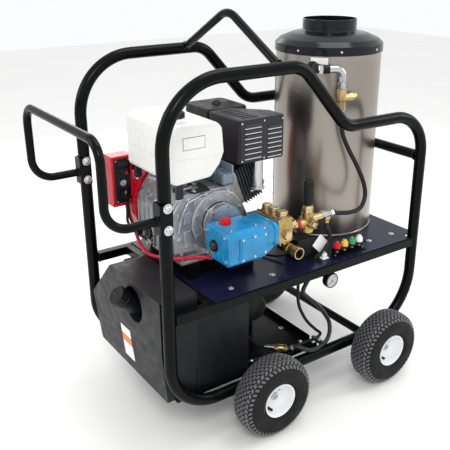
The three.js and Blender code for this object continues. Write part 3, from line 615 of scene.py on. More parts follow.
b = Build("filter_inline")
fd = unit(Vector((31, 31, 0)))
fa = Vector((186, 445, 175.5))
b.lathe(fa, fd, [(0, 4), (0, 9), (5, 9.4), (6, 12.4), (9, 13), (16, 13), (17, 11.6), (33, 11.6), (34, 13), (40, 13), (43, 12.2), (44, 9), (49, 8.6), (49, 4)], "brass", 8)
b.lathe(fa, fd, [(15.5, 11.8), (16, 12.6), (33.5, 12.6), (34, 11.8)], "brass", 40)
b.lathe(fa, fd, [(-34, 0), (-34, 4.6), (-26, 4.8), (-25, 6.4), (-17, 6.6), (-16, 5), (-9, 5), (-8, 8), (0, 8.4), (0, 0)], "chrome", 24)
b.done(C)

# ---------------------------------------------------------------- frame
HALF_W, Z_RAIL, Z_TOP, Z_VALLEY, Y_REAR = 262.8, 143, 1136, 934, 1015


def loop(x):
    return route([(x, 0, Z_RAIL, 160), (x, 0, Z_TOP, 185), (x, 461, Z_TOP + 1, 90), (x, 648, Z_VALLEY, 90), (x, 1009, Z_VALLEY - 3, 140), (x, Y_REAR, Z_RAIL, 205)], True, 4)


for side, x in (("right", HALF_W), ("left", -HALF_W)):
    b = Build(f"frame_loop_{side}")
    b.tube(loop(x), 19, "frame", 40, closed=True)
    s = 1 if x > 0 else -1
    # axle bosses, a butt weld and its dressing marks
    for y in (314, 812):
        b.lathe((x - s * 24, y, 133.5), (s, 0, 0), [(0, 8.6), (0, 14.5), (43.4, 14.5), (43.4, 8.6)], "frame", 32)
        b.ring((x - s * 18, y, 134.5), (1, 0, 0), 15.5, 2.6, "weld", 44, 8, 0.25)
    b.ring((x, 700, Z_RAIL), (0, 1, 0), 18.9, 0.8, "weld", 44, 8, 0.2)
    b.done(C, f"frame_{side}", slot="frame_paint")

for n, y in (("front", 314), ("rear", 812)):
    b = Build(f"cross_tube_{n}_steel")
    b.lathe((-244.5, y, 133.5), "x", [(0, 8.6), (0, 15), (489, 15), (489, 8.6)], "frame", 40)
    b.ring((-243, y, 134), "x", 15.8, 2.6, "weld", 44, 8, 0.25)
    b.ring((243, y, 134), "x", 15.8, 2.6, "weld", 44, 8, 0.25)
    b.done(C, f"cross_tube_{n}", slot="frame_paint")
    b = Build(f"axle_{n}_rod")
    L = 364
    b.lathe((-L, y, 133.5), "x", [(0, 0), (0, 6.6), (1.4, 8), (2 * L - 1.4, 8), (2 * L, 6.6), (2 * L, 0)], "steel", 32)
    for s in (1, -1):
        b.lathe((s * (L - 11.5), y, 133.5), (s, 0, 0), [(0, 7.9), (0, 15.5), (1.6, 15.5), (1.6, 7.9)], "zinc", 36)
        b.lathe((s * (L - 9.8), y, 133.5), (s, 0, 0), [(0, 7.8), (0, 11.6), (0.8, 12.4), (6.5, 12.4), (7.6, 11.2), (7.6, 7.8)], "zinc", 6)
        b.tube([(s * (L - 1.4) - s * 2, y - 12.5, 133.5), (s * (L - 1.4) - s * 2, y + 12, 133.5)], 1.2, "zinc", 10)
    b.done(C, f"axle_{n}", slot="zinc_steel")

b = Build("rear_bar_saddle")
xa = 243
b.tube([(-xa, 1010, 780), (-120, 1010, 780)], 17, "frame", 40)
b.tube([(40, 1010, 780), (xa, 1010, 780)], 17, "frame", 40)
arc = []
for k in range(61):
    t = math.radians(58 + 64 * k / 60)
    arc.append((HEAT_X + (HEAT_R + 2.6) * math.cos(t), HEAT_Y + (HEAT_R + 2.6) * math.sin(t)))
outer = [(HEAT_X + (HEAT_R + 4.6) * math.cos(math.radians(56 + 68 * k / 60)), HEAT_Y + (HEAT_R + 4.6) * math.sin(math.radians(56 + 68 * k / 60))) for k in range(61)]
inner = [(HEAT_X + (HEAT_R + 0.6) * math.cos(math.radians(56 + 68 * k / 60)), HEAT_Y + (HEAT_R + 0.6) * math.sin(math.radians(56 + 68 * k / 60))) for k in range(61)]
b.prism("z", outer + inner[::-1], 764, 796, "frame", 0.6, 2)
b.tube([(-122, 1010, 780), (-105, 1024, 780), (-80, 1032, 780), (-24, 1032, 780), (0, 1024, 780), (42, 1010, 780)], 11, "frame", 24)
for s in (1, -1):
    b.ring((s * xa, 1010, 780), "x", 17.6, 2.6, "weld", 44, 8, 0.25)
b.bolt((-96, 1030, 780), (-0.2, 1, 0), 6, 5)
b.bolt((-8, 1030, 780), (0.2, 1, 0), 6, 5)
b.done(C, "rear_bar", slot="frame_paint")

b = Build("lifting_arch_tube")
arch = route([(-HALF_W + 8, 386, 1141), (0, 386, 1279, 80), (HALF_W - 8, 386, 1141)], False, 4)
b.tube(arch, 12.5, "frame", 36)
for s in (1, -1):
    d = unit(Vector((s * 262.8, 0, -142)))
    b.ring(Vector((s * (HALF_W - 17), 386, 1146)), d, 13.8, 2.6, "weld", 44, 8, 0.25)
b.done(C, "lifting_arch", slot="frame_paint")

# deck: rails, cross members, sheet
b = Build("deck_rails")
for s in (1, -1):
    x = s * HALF_W
    b.box(x - 15, x + 15, 19, 997, 446.7, 476.7, "frame", 2.6, 3)
    for y in (20, 996):
        b.box(x - 16.5, x + 16.5, y - 2.5, y + 2.5, 445.5, 478, "weld", 2.2, 3)
for y0 in (122, 350, 610, 960):
    b.box(-247.4, 247.4, y0, y0 + 30, 446.7, 476.7, "frame", 2.6, 3)
    for s in (1, -1):
        b.box(s * 247 - 2, s * 247 + 2, y0 - 1, y0 + 31, 445.8, 476.9, "weld", 1.8, 2)
b.done(C, "deck_frame", slot="frame_paint")
deck = refine("deck_sheet", "deck_plate", "deck", C, 1.1, 3)

b = Build("deck_screws")
for x, y in ((208, 960), (208, 848), (-225, 640), (-225, 200), (225, 400), (225, 240), (60, 975), (-230, 975)):
    b.bolt((x, y, 480), "z", 5.5, 3.6, "zinc", True, False)
b.lathe((209, 586, 480), "z", [(0.2, 7.6), (0.2, 17), (1.6, 18.5), (3, 17), (3, 11), (-4, 9.6), (-4, 7.6)], "gasket", 32)
b.done(C)

b = Build("lower_tray_pan")
b.prism("x", round_outline([(30, 157.5), (590, 157.5), (590, 160.5), (30, 160.5)], 0), -241, 241, "frame", 0.9, 2)
b.box(-241, 204, 587.2, 590, 158, 182, "frame", 1.2, 2)
for s in (1, -1):
    b.box(s * 241.5 - 1.5, s * 241.5 + 1.5, 30, 590, 157.5, 175, "frame", 1.2, 2)
for x in (-200, -60, 80, 190):
    b.bolt((x, 560, 160.5), "z", 5, 3.6, "zinc", True, False)
b.done(C, "lower_tray", slot="frame_paint")

# push handle on its channel brackets
b = Build("push_handle")
b.tube(route([(HALF_W, -23, 773), (HALF_W, -171, 773, 68), (HALF_W, -171, 1010, 58), (-HALF_W, -171, 1010, 58), (-HALF_W, -171, 773, 68), (-HALF_W, -23, 773)], False, 4), 12.5, "frame", 40)
for s in (1, -1):
    x = s * HALF_W
    t = 4.4
    xs = round_outline([(x - 24, 13), (x - 24, -24.5), (x + 24, -24.5), (x + 24, 13), (x + 24 - t, 13), (x + 24 - t, -19.8), (x - 24 + t, -19.8), (x - 24 + t, 13)], [1, 6, 6, 1, 1, 3, 3, 1], 4)
    b.prism("z", xs, 735, 822, "frame", 0.9, 2)
    b.ring((x, -24.6, 773), "y", 13.2, 2.8, "weld", 44, 8, 0.25)
b.done(C, "handle", slot="frame_paint")
b = Build("handle_bolts")
for s in (1, -1):
    for z in (750, 812):
        for e in (1, -1):
            at = Vector((s * HALF_W + e * 24.2, -3, z))
            b.lathe(at, (e, 0, 0), [(0, 0), (0, 13.4), (0.6, 14), (1.6, 14), (2.1, 13.2), (2.1, 0)], "zinc", 40)
            b.bolt(at + Vector((e * 2.1, 0, 0)), (e, 0, 0), 8.2, 4.6 if e > 0 else 6, "zinc", False, e < 0)
b.done(C)


# ---------------------------------------------------------------- wheels
def tyre_profile(s):
    """Rounded carcass from bead to bead, (x, r)."""
    pts = [(383.6, 55.5), (386, 60), (392, 65.5), (394.3, 74), (394.8, 88), (393, 101), (389, 112), (382, 121), (372, 126.4), (360, 128.8), (346, 129.6),
           (332, 128.8), (320, 126.4), (310, 121), (303, 112), (299, 101), (297.2, 88), (297.7, 74), (300, 65.5), (306, 60), (308.4, 55.5)]
    return [(s * x, r) for x, r in pts]


def carcass_r(u):
    """Outer radius of the carcass at u = distance from the wheel's middle plane."""
    pts = [(0, 129.6), (14, 128.8), (26, 126.4), (36, 121), (43, 112), (47, 101), (48.8, 88)]
    u = abs(u)
    for (a, ra), (c, rc) in zip(pts, pts[1:]):
        if u <= c:
            return ra + (rc - ra) * (u - a) / (c - a)
    return 88


def wheel(name, s, y):
    c = (0, y, 133.5)
    body = f"wheel_{name}"
    b = Build(f"tyre_{name}_turf")
    # smooth profile through the carcass points
    prof = tyre_profile(s)
    fine = spline([(x, r, 0) for x, r in prof], 74)
    b.lathe(c, "x", [(prof[0][0], 54.8)] + [(p.x, p.y) for p in fine] + [(prof[-1][0], 54.8)], "tyre", 96)
    for R, r, x in ((70, 0.9, 393.6), (73.5, 0.7, 394.3), (100, 1.0, 393.2), (104, 0.8, 392.2)):
        b.ring((s * x, y, 133.5), "x", R, r, "tyre", 96, 6)
        b.ring((s * (692 - x), y, 133.5), "x", R, r, "tyre", 96, 6)
    # turf tread: staggered rows of small lugs, turning onto the shoulders
    N = 46
    rows = [(-40.5, 7.5), (-31.5, 8), (-22, 8), (-13, 7.6), (-4.4, 7.4), (4.4, 7.4), (13, 7.6), (22, 8), (31.5, 8), (40.5, 7.5)]
    for j, (u, wd) in enumerate(rows):
        u0, u1 = u - wd * 0.44, u + wd * 0.44
        sh = abs(u) > 35
        for k in range(N):
            t = 2 * pi * (k + (0.5 if j % 2 else 0)) / N
            dt = 2 * pi / N * (0.33 if not sh else 0.3)
            skew = 0.16 * dt * (1 if j % 2 else -1)
            vs = []
            for (lift, k2) in ((-1.5, 1.0), (3.7 if not sh else 2.6, 0.74)):
                for (uu, tt) in ((u0, -dt), (u1, -dt), (u1, dt), (u0, dt)):
                    um = u + (uu - u) * k2
                    tm = t + tt * k2 + skew * (um - u)
                    R = min(133.4, carcass_r(um) + lift)
                    vs.append((s * (346 + um), y + R * math.sin(tm), 133.5 + R * math.cos(tm)))
            b.add(vs, [(4, 5, 6, 7), (0, 1, 5, 4), (1, 2, 6, 5), (2, 3, 7, 6), (3, 0, 4, 7)], "tread")
    b.done(body, f"tyre_{name}", angle=28, slot="tyre", weighted=False)
    b = Build(f"rim_{name}_dish")
    prof = [(284, 8.6), (284, 16.4), (285, 17), (300, 17), (341, 17), (343, 20), (343, 35), (347, 48.6), (340, 50.4), (303, 50.6), (302, 52), (302, 56.6), (303.4, 57.4), (305.6, 56.6), (306.4, 54),
            (383.6, 54), (384.4, 56.6), (386.6, 57.6), (389, 57.2), (390, 55.4), (389.6, 53.2), (387.6, 51.8), (376, 50.6), (369, 48.9), (362, 46.2), (355, 41.4), (350.4, 36), (348.4, 31), (348, 24),
            (348.6, 19.4), (350, 17.6), (351.4, 16.6), (351.8, 14.6), (351.8, 8.6), (284, 8.6)]
    b.lathe(c, "x", [(s * x, r) for x, r in prof], "rim", 80)
    b.ring((s * 349.2, y, 133.5), "x", 18.6, 1.3, "rim", 48, 8)
    # bearing face, grease nipple, weld ring and valve stem
    b.lathe(c, (s, 0, 0), [(351.9, 8.6), (352.4, 9), (352.4, 13.8), (351.9, 14.2)], "burner", 40)
    b.lathe((s * 348, y + 24, 133.5 + 10), (s, 0, 0), [(-1, 0), (-1, 3.4), (3, 3.4), (3, 2), (6, 1.8), (7, 1.2), (7, 0)], "zinc", 12)
    vd = unit(Vector((s * 1.0, 0.1, 0.1)))
    vp = Vector((s * 355, y - 33, 133.5 - 27))
    b.lathe(vp, vd, [(-5, 0), (-5, 7.2), (1, 7.0), (5, 5.0), (19, 4.6), (19.6, 3.6), (21, 3.6), (21, 4.8), (28, 4.8), (29.4, 3.8), (29.4, 0)], "plastic", 20)
    b.done(body, f"rim_{name}", angle=30, slot="rim_paint")


for n, s, y in (("front_right", 1, 314), ("front_left", -1, 314), ("rear_right", 1, 812), ("rear_left", -1, 812)):
    wheel(n, s, y)

# ---------------------------------------------------------------- burner fuel tank
tank = refine("fuel_tank_moulded", "fuel_tank", "poly", C, 5.5, 4, angle=24)
b = Build("fuel_tank_trim")
fd = unit(Vector((0, -0.72, 0.69)))
fb = Vector((34, -26.6, 438.4))
b.lathe(fb, fd, [(-6, 26), (2, 30), (5, 30.5), (8, 30), (10, 28.4), (13.6, 28.4), (13.6, 24)], "poly", 48)
# moulded panel line round the body and a drain boss
for y in (107.6,):
    b.tube([(-238.5, y, 170), (-238.5, y, 350), (-85, y, 510.5), (238, y, 510.5), (238, y, 170)], 2.0, "poly", 12)
b.lathe((207, 301.5, 178), "y", [(0, 13), (1.4, 13), (2, 11), (2.2, 7), (2.2, 0)], "poly", 28)
# blank label on the front face: plain field with an orange band
for (z0, z1, mat, dy) in ((203, 258, "label", 0.9), (258, 290, "orange", 0.9), (290, 321, "label", 0.9)):
    vs = []
    for (x, z) in ((-36, z0), (29, z0), (29, z1), (-36, z1)):
        yy = 2 - 18.5 * (z - 162) / 183 - dy
        vs.append((x, yy, z))
    b.add(vs + [(x, yv + 0.7, z) for x, yv, z in vs], [(0, 3, 2, 1), (4, 5, 6, 7), (0, 1, 5, 4), (1, 2, 6, 5), (2, 3, 7, 6), (3, 0, 4, 7)], mat)
b.done(C)
b = Build("fuel_cap_ribbed")
ribs = lambda t, h, r: 1 + (0.035 * (0.5 + 0.5 * math.cos(18 * t)) ** 0.7 if r > 25 else 0)
b.lathe(fb, fd, [(14.6, 0), (14.6, 30), (16, 31), (35, 30.4), (38.6, 29), (39.7, 26), (39.9, 22), (38.6, 20.6), (38.4, 9), (39.6, 7.6), (39.6, 0)], "plastic", 144, ribs)
u, w, _ = basis(fd)
b.box(-19, 19, -3.2, 3.2, -2, 1.2, "plastic", 1, 2, Matrix.Translation(fb + fd * 38.7) @ Matrix((u, w, fd)).transposed().to_4x4())
b.done("fuel_cap", "fuel_cap", slot="black_plastic")

# ---------------------------------------------------------------- burner
b = Build("burner_assembly")
prof = [(0, 30), (0, 84), (2, 89), (6, 91.4), (10, 90), (14, 91.4), (66, 91.4), (70, 90), (74, 91.4), (78, 89), (80, 84), (80, 44)]
b.lathe((-60, 430, 290), "x", [(0, 0)] + prof[1:] + [(80, 0)], "burner", 72)
b.lathe((15, 430, 290), "x", [(0, 46), (4, 46), (6, 44.6), (80, 44.6), (84, 43), (89, 34), (90, 0)], "burner", 48, lambda t, h, r: 1 + (0.022 * math.cos(24 * t) if 5 < h < 82 else 0))
for k in range(6):
    t = 2 * pi * (k + 0.5) / 6
    b.bolt((20, 430 + 70 * math.cos(t), 290 + 70 * math.sin(t)), "x", 4.4, 4)
b.lathe((-20, 440, 372), "y", [(0, 0), (0, 39.6), (60, 39.6), (62, 42), (70, 42), (72, 39.6), (196, 39.6), (198, 48), (206, 48), (206, 39.6), (320, 39.6), (320, 36), (230, 36)], "burner", 56)
for k in range(8):
    t = 2 * pi * k / 8
    b.lathe((-20 + 44 * math.cos(t), 646, 372 + 44 * math.sin(t)), "y", [(0, 0), (0, 2.6), (3, 2.6), (3, 0)], "zinc", 6)
b.box(-45, 5, 372, 488, 161, 215, "burner", 4)
b.box(-55, 15, 385, 475, 376, 440, "plastic", 5)
b.box(-105, -58, 400, 460, 262, 322, "burner", 4)
b.box(-48, 8, 392, 468, 439, 441.5, "label", 0.8)
for x, y in ((-49, 391), (9, 391), (-49, 469), (9, 469)):
    b.bolt((x, y, 440), "z", 3, 2.6, "zinc", False, False)
b.lathe((-82, 399, 292), "-y", [(0, 0), (0, 12), (10, 12), (12, 9), (22, 9), (22, 0)], "zinc", 24)
b.lathe((-82, 430, 322), "z", [(0, 0), (0, 9), (8, 9), (8, 6), (20, 6), (20, 0)], "brass", 6)
b.tube(spline([(-82, 430, 340), (-80, 428, 356), (-60, 424, 366), (-40, 440, 372), (-22, 452, 400)], 30), 3, "brass", 12)
b.tube(spline([(166, 425, 175.5), (140, 402, 178), (96, 398, 190), (40, 410, 215), (4, 420, 246), (-6, 424, 268)], 44), 4.6, "hose", 14)
b.tube(spline([(-12, 410, 440), (-6, 380, 430), (20, 370, 390), (40, 385, 345), (60, 400, 335)], 40), 3.4, "wire", 12)
# combustion pot
b.lathe((HEAT_X, HEAT_Y, 0), "z", [(330, 0), (330, 100), (333, 105), (338, 106), (400, 106), (403, 107.6), (406, 106), (476.3, 106), (476.3, 98), (342, 97.4), (342, 0)], "burner", 72)
b.lathe((-20, 738, 372), "y", [(0, 40), (0, 50), (6, 50), (10, 44), (10, 40)], "burner", 40)
b.done(C, "burner", slot="dark_steel")

# ---------------------------------------------------------------- engine
CY, CZ = 285, 650
LEAN = Matrix.Translation((0, 352, 712)) @ Matrix.Rotation(math.radians(20), 4, "X")
refine("engine_mount_rails", "engine_mounts", "frame", C, 2.2, 3)

b = Build("crankcase_cast")
shape = round_outline([(128, 542), (408, 542), (408, 600), (392, 655), (338, 758), (165, 758), (122, 700)], [6, 6, 20, 30, 18, 25, 30], 5)
b.prism("x", shape, -145, 74, "cast", 5, 3)
b.prism("x", [(CY + (y - CY) * 1.0, CZ + (z - CZ) * 1.0) for y, z in shape], 75.2, 88, "cast", 3.5, 3)
b.prism("x", [(CY + (y - CY) * 0.985, CZ + (z - CZ) * 0.985) for y, z in shape], 73.6, 75.6, "gasket", 0.3, 1)
b.box(-148, 100, 140, 430, 530, 546, "cast", 4, 3)
b.box(-68, 50, -30, 50, -62, 58, "cast", 5, 3, LEAN)
b.lathe((80, CY, CZ), "x", [(0, 100), (9, 100), (12, 98), (14.4, 94), (14.6, 64), (11, 62), (10, 34), (14, 32), (14.6, 30), (14.6, 14)], "cast", 72)
for k in range(8):
    t = 2 * pi * (k + 0.5) / 8
    b.bolt((92, CY + 86 * math.cos(t), CZ + 86 * math.sin(t)), "x", 4.8, 4, "zinc", True, True)
for k in range(16):
    t = 2 * pi * k / 16
    m = Matrix.Translation((88, CY, CZ)) @ Matrix.Rotation(t, 4, "X")
    b.box(-2, 5.4, 63, 92, -1.8, 1.8, "cast", 1.2, 2, m)
# cast lettering pads are left out: plain raised pads and ribs instead
for (y0, y1, z0, z1) in ((158, 186, 582, 640), (158, 182, 660, 700), (196, 238, 716, 740), (300, 344, 712, 738), (352, 384, 584, 640)):
    b.box(86, 92, y0, y1, z0, z1, "cast", 2.6, 3)
for k in range(5):
    b.box(86, 91, 192 + k * 3, 194.5 + k * 3, 556, 590, "cast", 1, 2)
b.tube([(90, 140, 640), (90, 152, 690), (90, 176, 730), (90, 230, 748)], 4.2, "cast", 14)
b.tube([(90, 396, 640), (90, 372, 690), (90, 340, 730)], 4.2, "cast", 14)
# side cover bolts round the outline, bosses and webs
N = len(shape)
for (y, z) in ((150, 562), (232, 556), (330, 556), (392, 562), (392, 610), (378, 662), (352, 712), (322, 744), (240, 746), (176, 742), (138, 694), (138, 620)):
    b.lathe((84, y, z), "x", [(0, 0), (0, 9), (4, 8.4), (6, 7.8), (6, 0)], "cast", 20)
    b.bolt((89.8, y, z), "x", 4.2, 4, "zinc", False, True)
for k in range(7):
    b.box(-138 + k * 32, -134.5 + k * 32, 119.5, 130, 552, 690, "cast", 1.6, 2)
for k in range(6):
    b.box(-130 + k * 34, -126 + k * 34, 398, 413, 552, 600, "cast", 1.6, 2)
for (x, mat, r) in ((40, "plastic", 21), (-60, "plastic", 21)):
    b.lathe((x, 126, 600), "-y", [(0, 0), (0, 26), (6, 25), (8, 22)], "cast", 36)
    b.lathe((x, 119, 600), "-y", [(0, 0), (0, r), (2, r + 1.2), (8, r + 1.2), (10.4, r), (10.8, 12), (10.8, 0)], mat, 60, lambda t, h, r: 1 + (0.05 * math.cos(10 * t) if r > 20.5 else 0))
    b.box(x - 3, x + 3, 105.6, 109, 590, 610, mat, 1.2, 2)
b.lathe((40, 116, 560), "-y", [(-8, 0), (-8, 14), (2, 13), (3, 10.4), (12, 10), (12, 0)], "zinc", 6)
b.lathe((-60, 116, 562), "-y", [(-8, 0), (-8, 13), (2, 12), (3, 9), (9, 8.6), (9, 0)], "zinc", 6)
for (x, y) in ((-138, 150), (90, 150), (-138, 420), (90, 420)):
    b.bolt((x, y, 546), "z", 7, 7)
# starter-side bell wall and its webs
b.lathe((-145, CY, CZ), "-x", [(-4, 60), (-4, 148), (6, 154), (12, 155), (14, 150), (14, 60)], "cast", 72)
for k in range(12):
    t = 2 * pi * (k + 0.3) / 12
    m = Matrix.Translation((-152, CY, CZ)) @ Matrix.Rotation(t, 4, "X")
    b.box(0, 26, 118, 151, -2, 2, "cast", 1.4, 2, m)
for k in range(6):
    t = 2 * pi * (k + 0.5) / 6
    b.bolt((-146, CY + 141 * math.cos(t), CZ + 141 * math.sin(t)), "x", 5, 5)
b.done(C, "crankcase", slot="casting")

b = Build("cylinder_finned")
b.box(-58, 40, 50.4, 130, -48, 48, "fins", 8, 3, LEAN)
for k in range(7):
    s0 = 51 + k * 10.6
    b.box(-74, 56, s0, s0 + 3.6, -66, 64, "fins", 1.5, 3, LEAN)
b.box(-66, 46, 124, 137, -55, 55, "fins", 4, 3, LEAN)
b.box(-60, 40, 136.6, 146, -49, 49, "cast", 4, 3, LEAN)
for (x, z) in ((-50, -40), (30, -40), (-50, 40), (30, 40)):
    p = LEAN @ Vector((x, 146, z))
    b.bolt(p, unit(LEAN.to_3x3() @ Vector((0, 1, 0))), 5, 4)
for k in range(5):
    b.box(-62 + k * 24, -59 + k * 24, 124, 139, -62, 62, "fins", 1.4, 2, LEAN)
pp = LEAN @ Vector((-20, 132, 50))
pd = unit(LEAN.to_3x3() @ Vector((0.1, 0.3, 1)))
b.lathe(pp, pd, [(0, 0), (0, 9), (6, 9), (6, 6.4), (16, 6.2), (20, 4), (20, 0)], "zinc", 6)
b.lathe(pp + pd * 18, pd, [(0, 0), (0, 9.4), (22, 9), (26, 7), (26, 0)], "plastic", 24)
b.done(C, "cylinder", slot="fins_dark")

b = Build("spark_lead")
q = pp + pd * 42
b.tube(spline([q, q + Vector((-10, -8, 14)), (-70, 400, 845), (-120, 370, 835), (-160, 320, 815), (-176, 300, 795)], 40), 3.4, "wire", 12)
b.done(C)

b = Build("crankshaft_flywheel")
b.lathe((0, CY, CZ), "x", [(-224, 0), (-224, 11.4), (-222.8, 12.4), (119.8, 12.4), (121, 11.4), (121, 0)], "steel", 40)
b.lathe((0, CY, CZ), "x", [(-216, 12.4), (-216, 40), (-213, 44), (-208, 108), (-214, 113), (-215.6, 119.8), (-196, 119.8), (-196, 112), (-203, 108), (-203, 46), (-198, 42), (-196.6, 12.4)], "cast", 72)
for k in range(18):
    t = 2 * pi * k / 18
    m = Matrix.Translation((-210, CY, CZ)) @ Matrix.Rotation(t, 4, "X") @ Matrix.Rotation(0.35, 4, "X")
    b.box(-4, 4, 62, 112, -1.4, 1.4, "cast", 0.8, 2, m)
b.done("crank", "crankshaft", slot="zinc_steel")

# red blower shell with its frame round the control panel
housing = refine("blower_shell", "fan_housing", "red", C, 4.5, 4, angle=28)
b = Build("blower_details")
for k in range(10):
    z = CZ - 70 + k * 15.5
    half = math.sqrt(max(0, 80 ** 2 - (z - CZ) ** 2))
    if half > 12:
        b.tube([(-257.2, CY - half, z), (-257.2, CY + half, z)], 2.1, "red", 10)
b.lathe((-255, CY, CZ), "-x", [(-1, 0), (-1, 30), (2.4, 29.4), (3, 26), (3, 0)], "plastic_gloss", 48)
for k in range(4):
    t = pi / 4 + pi / 2 * k
    b.bolt((-236.4, CY + 128 * math.cos(t), CZ + 128 * math.sin(t)), "-x", 4.6, 4, "zinc", True, True)
b.done(C)

b = Build("control_panel")
b.box(-235.6, -184.6, 66.6, 123.4, 666.6, 817.4, "plastic", 3, 3)
b.box(-186, -183.2, 69, 121, 669, 815, "plastic_gloss", 2.6, 3)
for z in (735, 770, 802):
    b.box(-183.6, -182.4, 74, 116, z - 13, z + 13 if z < 800 else z + 8, "plastic", 1.2, 2)
b.lathe((-183.4, 95, 735), "x", [(0, 0), (0, 11), (1.6, 10.6), (2, 9), (2, 0)], "chrome", 28)
b.lathe((-183.4, 108, 768), "x", [(0, 0), (0, 5.6), (2, 5), (2, 0)], "redcap", 20)
b.lathe((-183.4, 84, 768), "x", [(0, 0), (0, 5.6), (2, 5), (2, 0)], "plastic_gloss", 20)
b.box(-183.6, -180.2, 80, 110, 794, 806, "ink", 1.2, 2)
for (y, z) in ((72.5, 673), (117.5, 673), (72.5, 811), (117.5, 811)):
    b.bolt((-183.6, y, z), "x", 2.2, 2, "zinc", False, False)
b.done(C, "control_box", slot="black_plastic")
b = Build("engine_switch_knob")
b.lathe((-182.6, 95, 700), "x", [(0, 0), (0, 10.6), (1, 11), (6, 10.8), (10, 9.6), (10.6, 8), (10.6, 0)], "plastic", 72, lambda t, h, r: 1 + (0.03 * math.cos(24 * t) if r > 9.5 else 0))
b.box(-178, -168.4, 92.4, 97.6, 686.4, 713.6, "plastic", 2, 3)
b.box(-169, -168, 94.4, 95.6, 702, 712, "label", 0.3, 1)
b.done("engine_switch", "engine_switch", slot="black_plastic")
b = Build("engine_wiring")
b.tube(spline([(-178, 100, 668), (-168, 96, 640), (-160, 92, 606), (-150, 104, 585), (-135, 112, 578)], 40), 4.6, "wire", 14)
b.tube(spline([(-186, 108, 668), (-176, 108, 640), (-168, 104, 612), (-158, 112, 592), (-142, 116, 584)], 40), 3.2, "wire", 12)
b.box(-146, -118, 104, 120, 566, 592, "plastic", 3, 3)
b.tube(spline([(-118, 114, 572), (-100, 116, 566), (-86, 118, 562)], 16), 3, "wire", 12)
b.done(C)

b = Build("recoil_handle")
hp = [(-262, 170, 746), (-262, 170, 755), (-262, 170, 774), (-262, 170, 793), (-262, 170, 802)]
b.tube(spline(hp, 24), lambda f: 6.2 + 1.6 * math.sin(pi * f), "plastic", 24)
b.box(-269.6, -254.4, 159, 181, 744.6, 803.4, "plastic", 6.5, 5)
b.lathe((-256, 170, 774), "x", [(-2, 0), (-2, 7.5), (8, 6.4), (17, 6), (17, 0)], "plastic", 24)
b.done("recoil_grip", "recoil_grip", slot="black_plastic")

# engine petrol tank
et = refine("petrol_tank_shell", "engine_tank", "white", C, 15, 6, angle=24)
b = Build("petrol_tank_trim")
tank_yz = round_outline([(106, 880), (106, 803), (238, 811), (270, 846), (286, 882), (280, 958), (262, 976), (126, 982), (108, 962)], [18, 16, 30, 14, 20, 14, 14, 16, 16], 5)
lo = [(103.6, 884), (106, 884)]
# folded seam flange following the outline at half height
for (y0, y1, x0, x1) in ((104.6, 287.4, -161.4, 126.4),):
    o = round_outline([(x0, y0), (x1, y0), (x1, y1), (x0, y1)], 17, 8)
    i = round_outline([(x0 + 6, y0 + 6), (x1 - 6, y0 + 6), (x1 - 6, y1 - 6), (x0 + 6, y1 - 6)], 12, 8)
    verts, faces = [], []
    n = len(o)
    for ring_pts, z in ((i, 880.2), (o, 880.2), (o, 883.8), (i, 883.8)):
        verts += [(x, y, z) for x, y in ring_pts]
    for a in range(4):
        c2 = (a + 1) % 4
        for k in range(n):
            l = (k + 1) % n
            faces.append((a * n + k, a * n + l, c2 * n + l, c2 * n + k))
    b.add(verts, faces, "white")
# blank framed field on the side
for (y0, y1, z0, z1, mat, x) in ((143, 219, 906, 943, "ink", 125.5), (144.5, 217.5, 907.5, 941.5, "white", 126.0)):
    b.box(x - 1, x, y0, y1, z0, z1, mat, 0.4, 1)
b.lathe((30, 172, 981), "z", [(-2, 0), (-2, 40), (0, 39), (2, 34), (2, 0)], "white", 48)
b.lathe((40, 262, 830), "y", [(0, 0), (0, 8), (5, 8), (6, 6), (16, 6), (16, 0)], "label", 20)
b.tube([(40, 276, 830), (40, 279, 818)], 4, "plastic", 12)
b.lathe((-10, 250, 806), "-z", [(-6, 0), (-6, 9), (4, 9), (4, 6), (14, 6), (14, 0)], "zinc", 24)
b.tube(spline([(-10, 250, 792), (-14, 262, 782), (-40, 300, 776), (-70, 330, 790), (-96, 352, 812)], 40), 4, "hose", 12)
for x in (-150, 112):
    b.box(x - 6, x + 6, 122, 146, 758, 806, "darksteel", 3, 3)
    b.bolt((x, 130, 758), "-z", 5, 4)
b.done(C)
b = Build("petrol_cap")
b.lathe((30, 172, 982.6), "z", [(0, 0), (0, 29.5), (1.5, 31.2), (14, 31.2), (16.5, 29.4), (18, 26), (18.6, 22), (20.4, 20), (20.4, 0)], "plastic", 144, lambda t, h, r: 1 + (0.03 * math.cos(20 * t) if r > 29 else 0))
b.done("engine_tank_cap", "engine_tank_cap", slot="black_plastic")

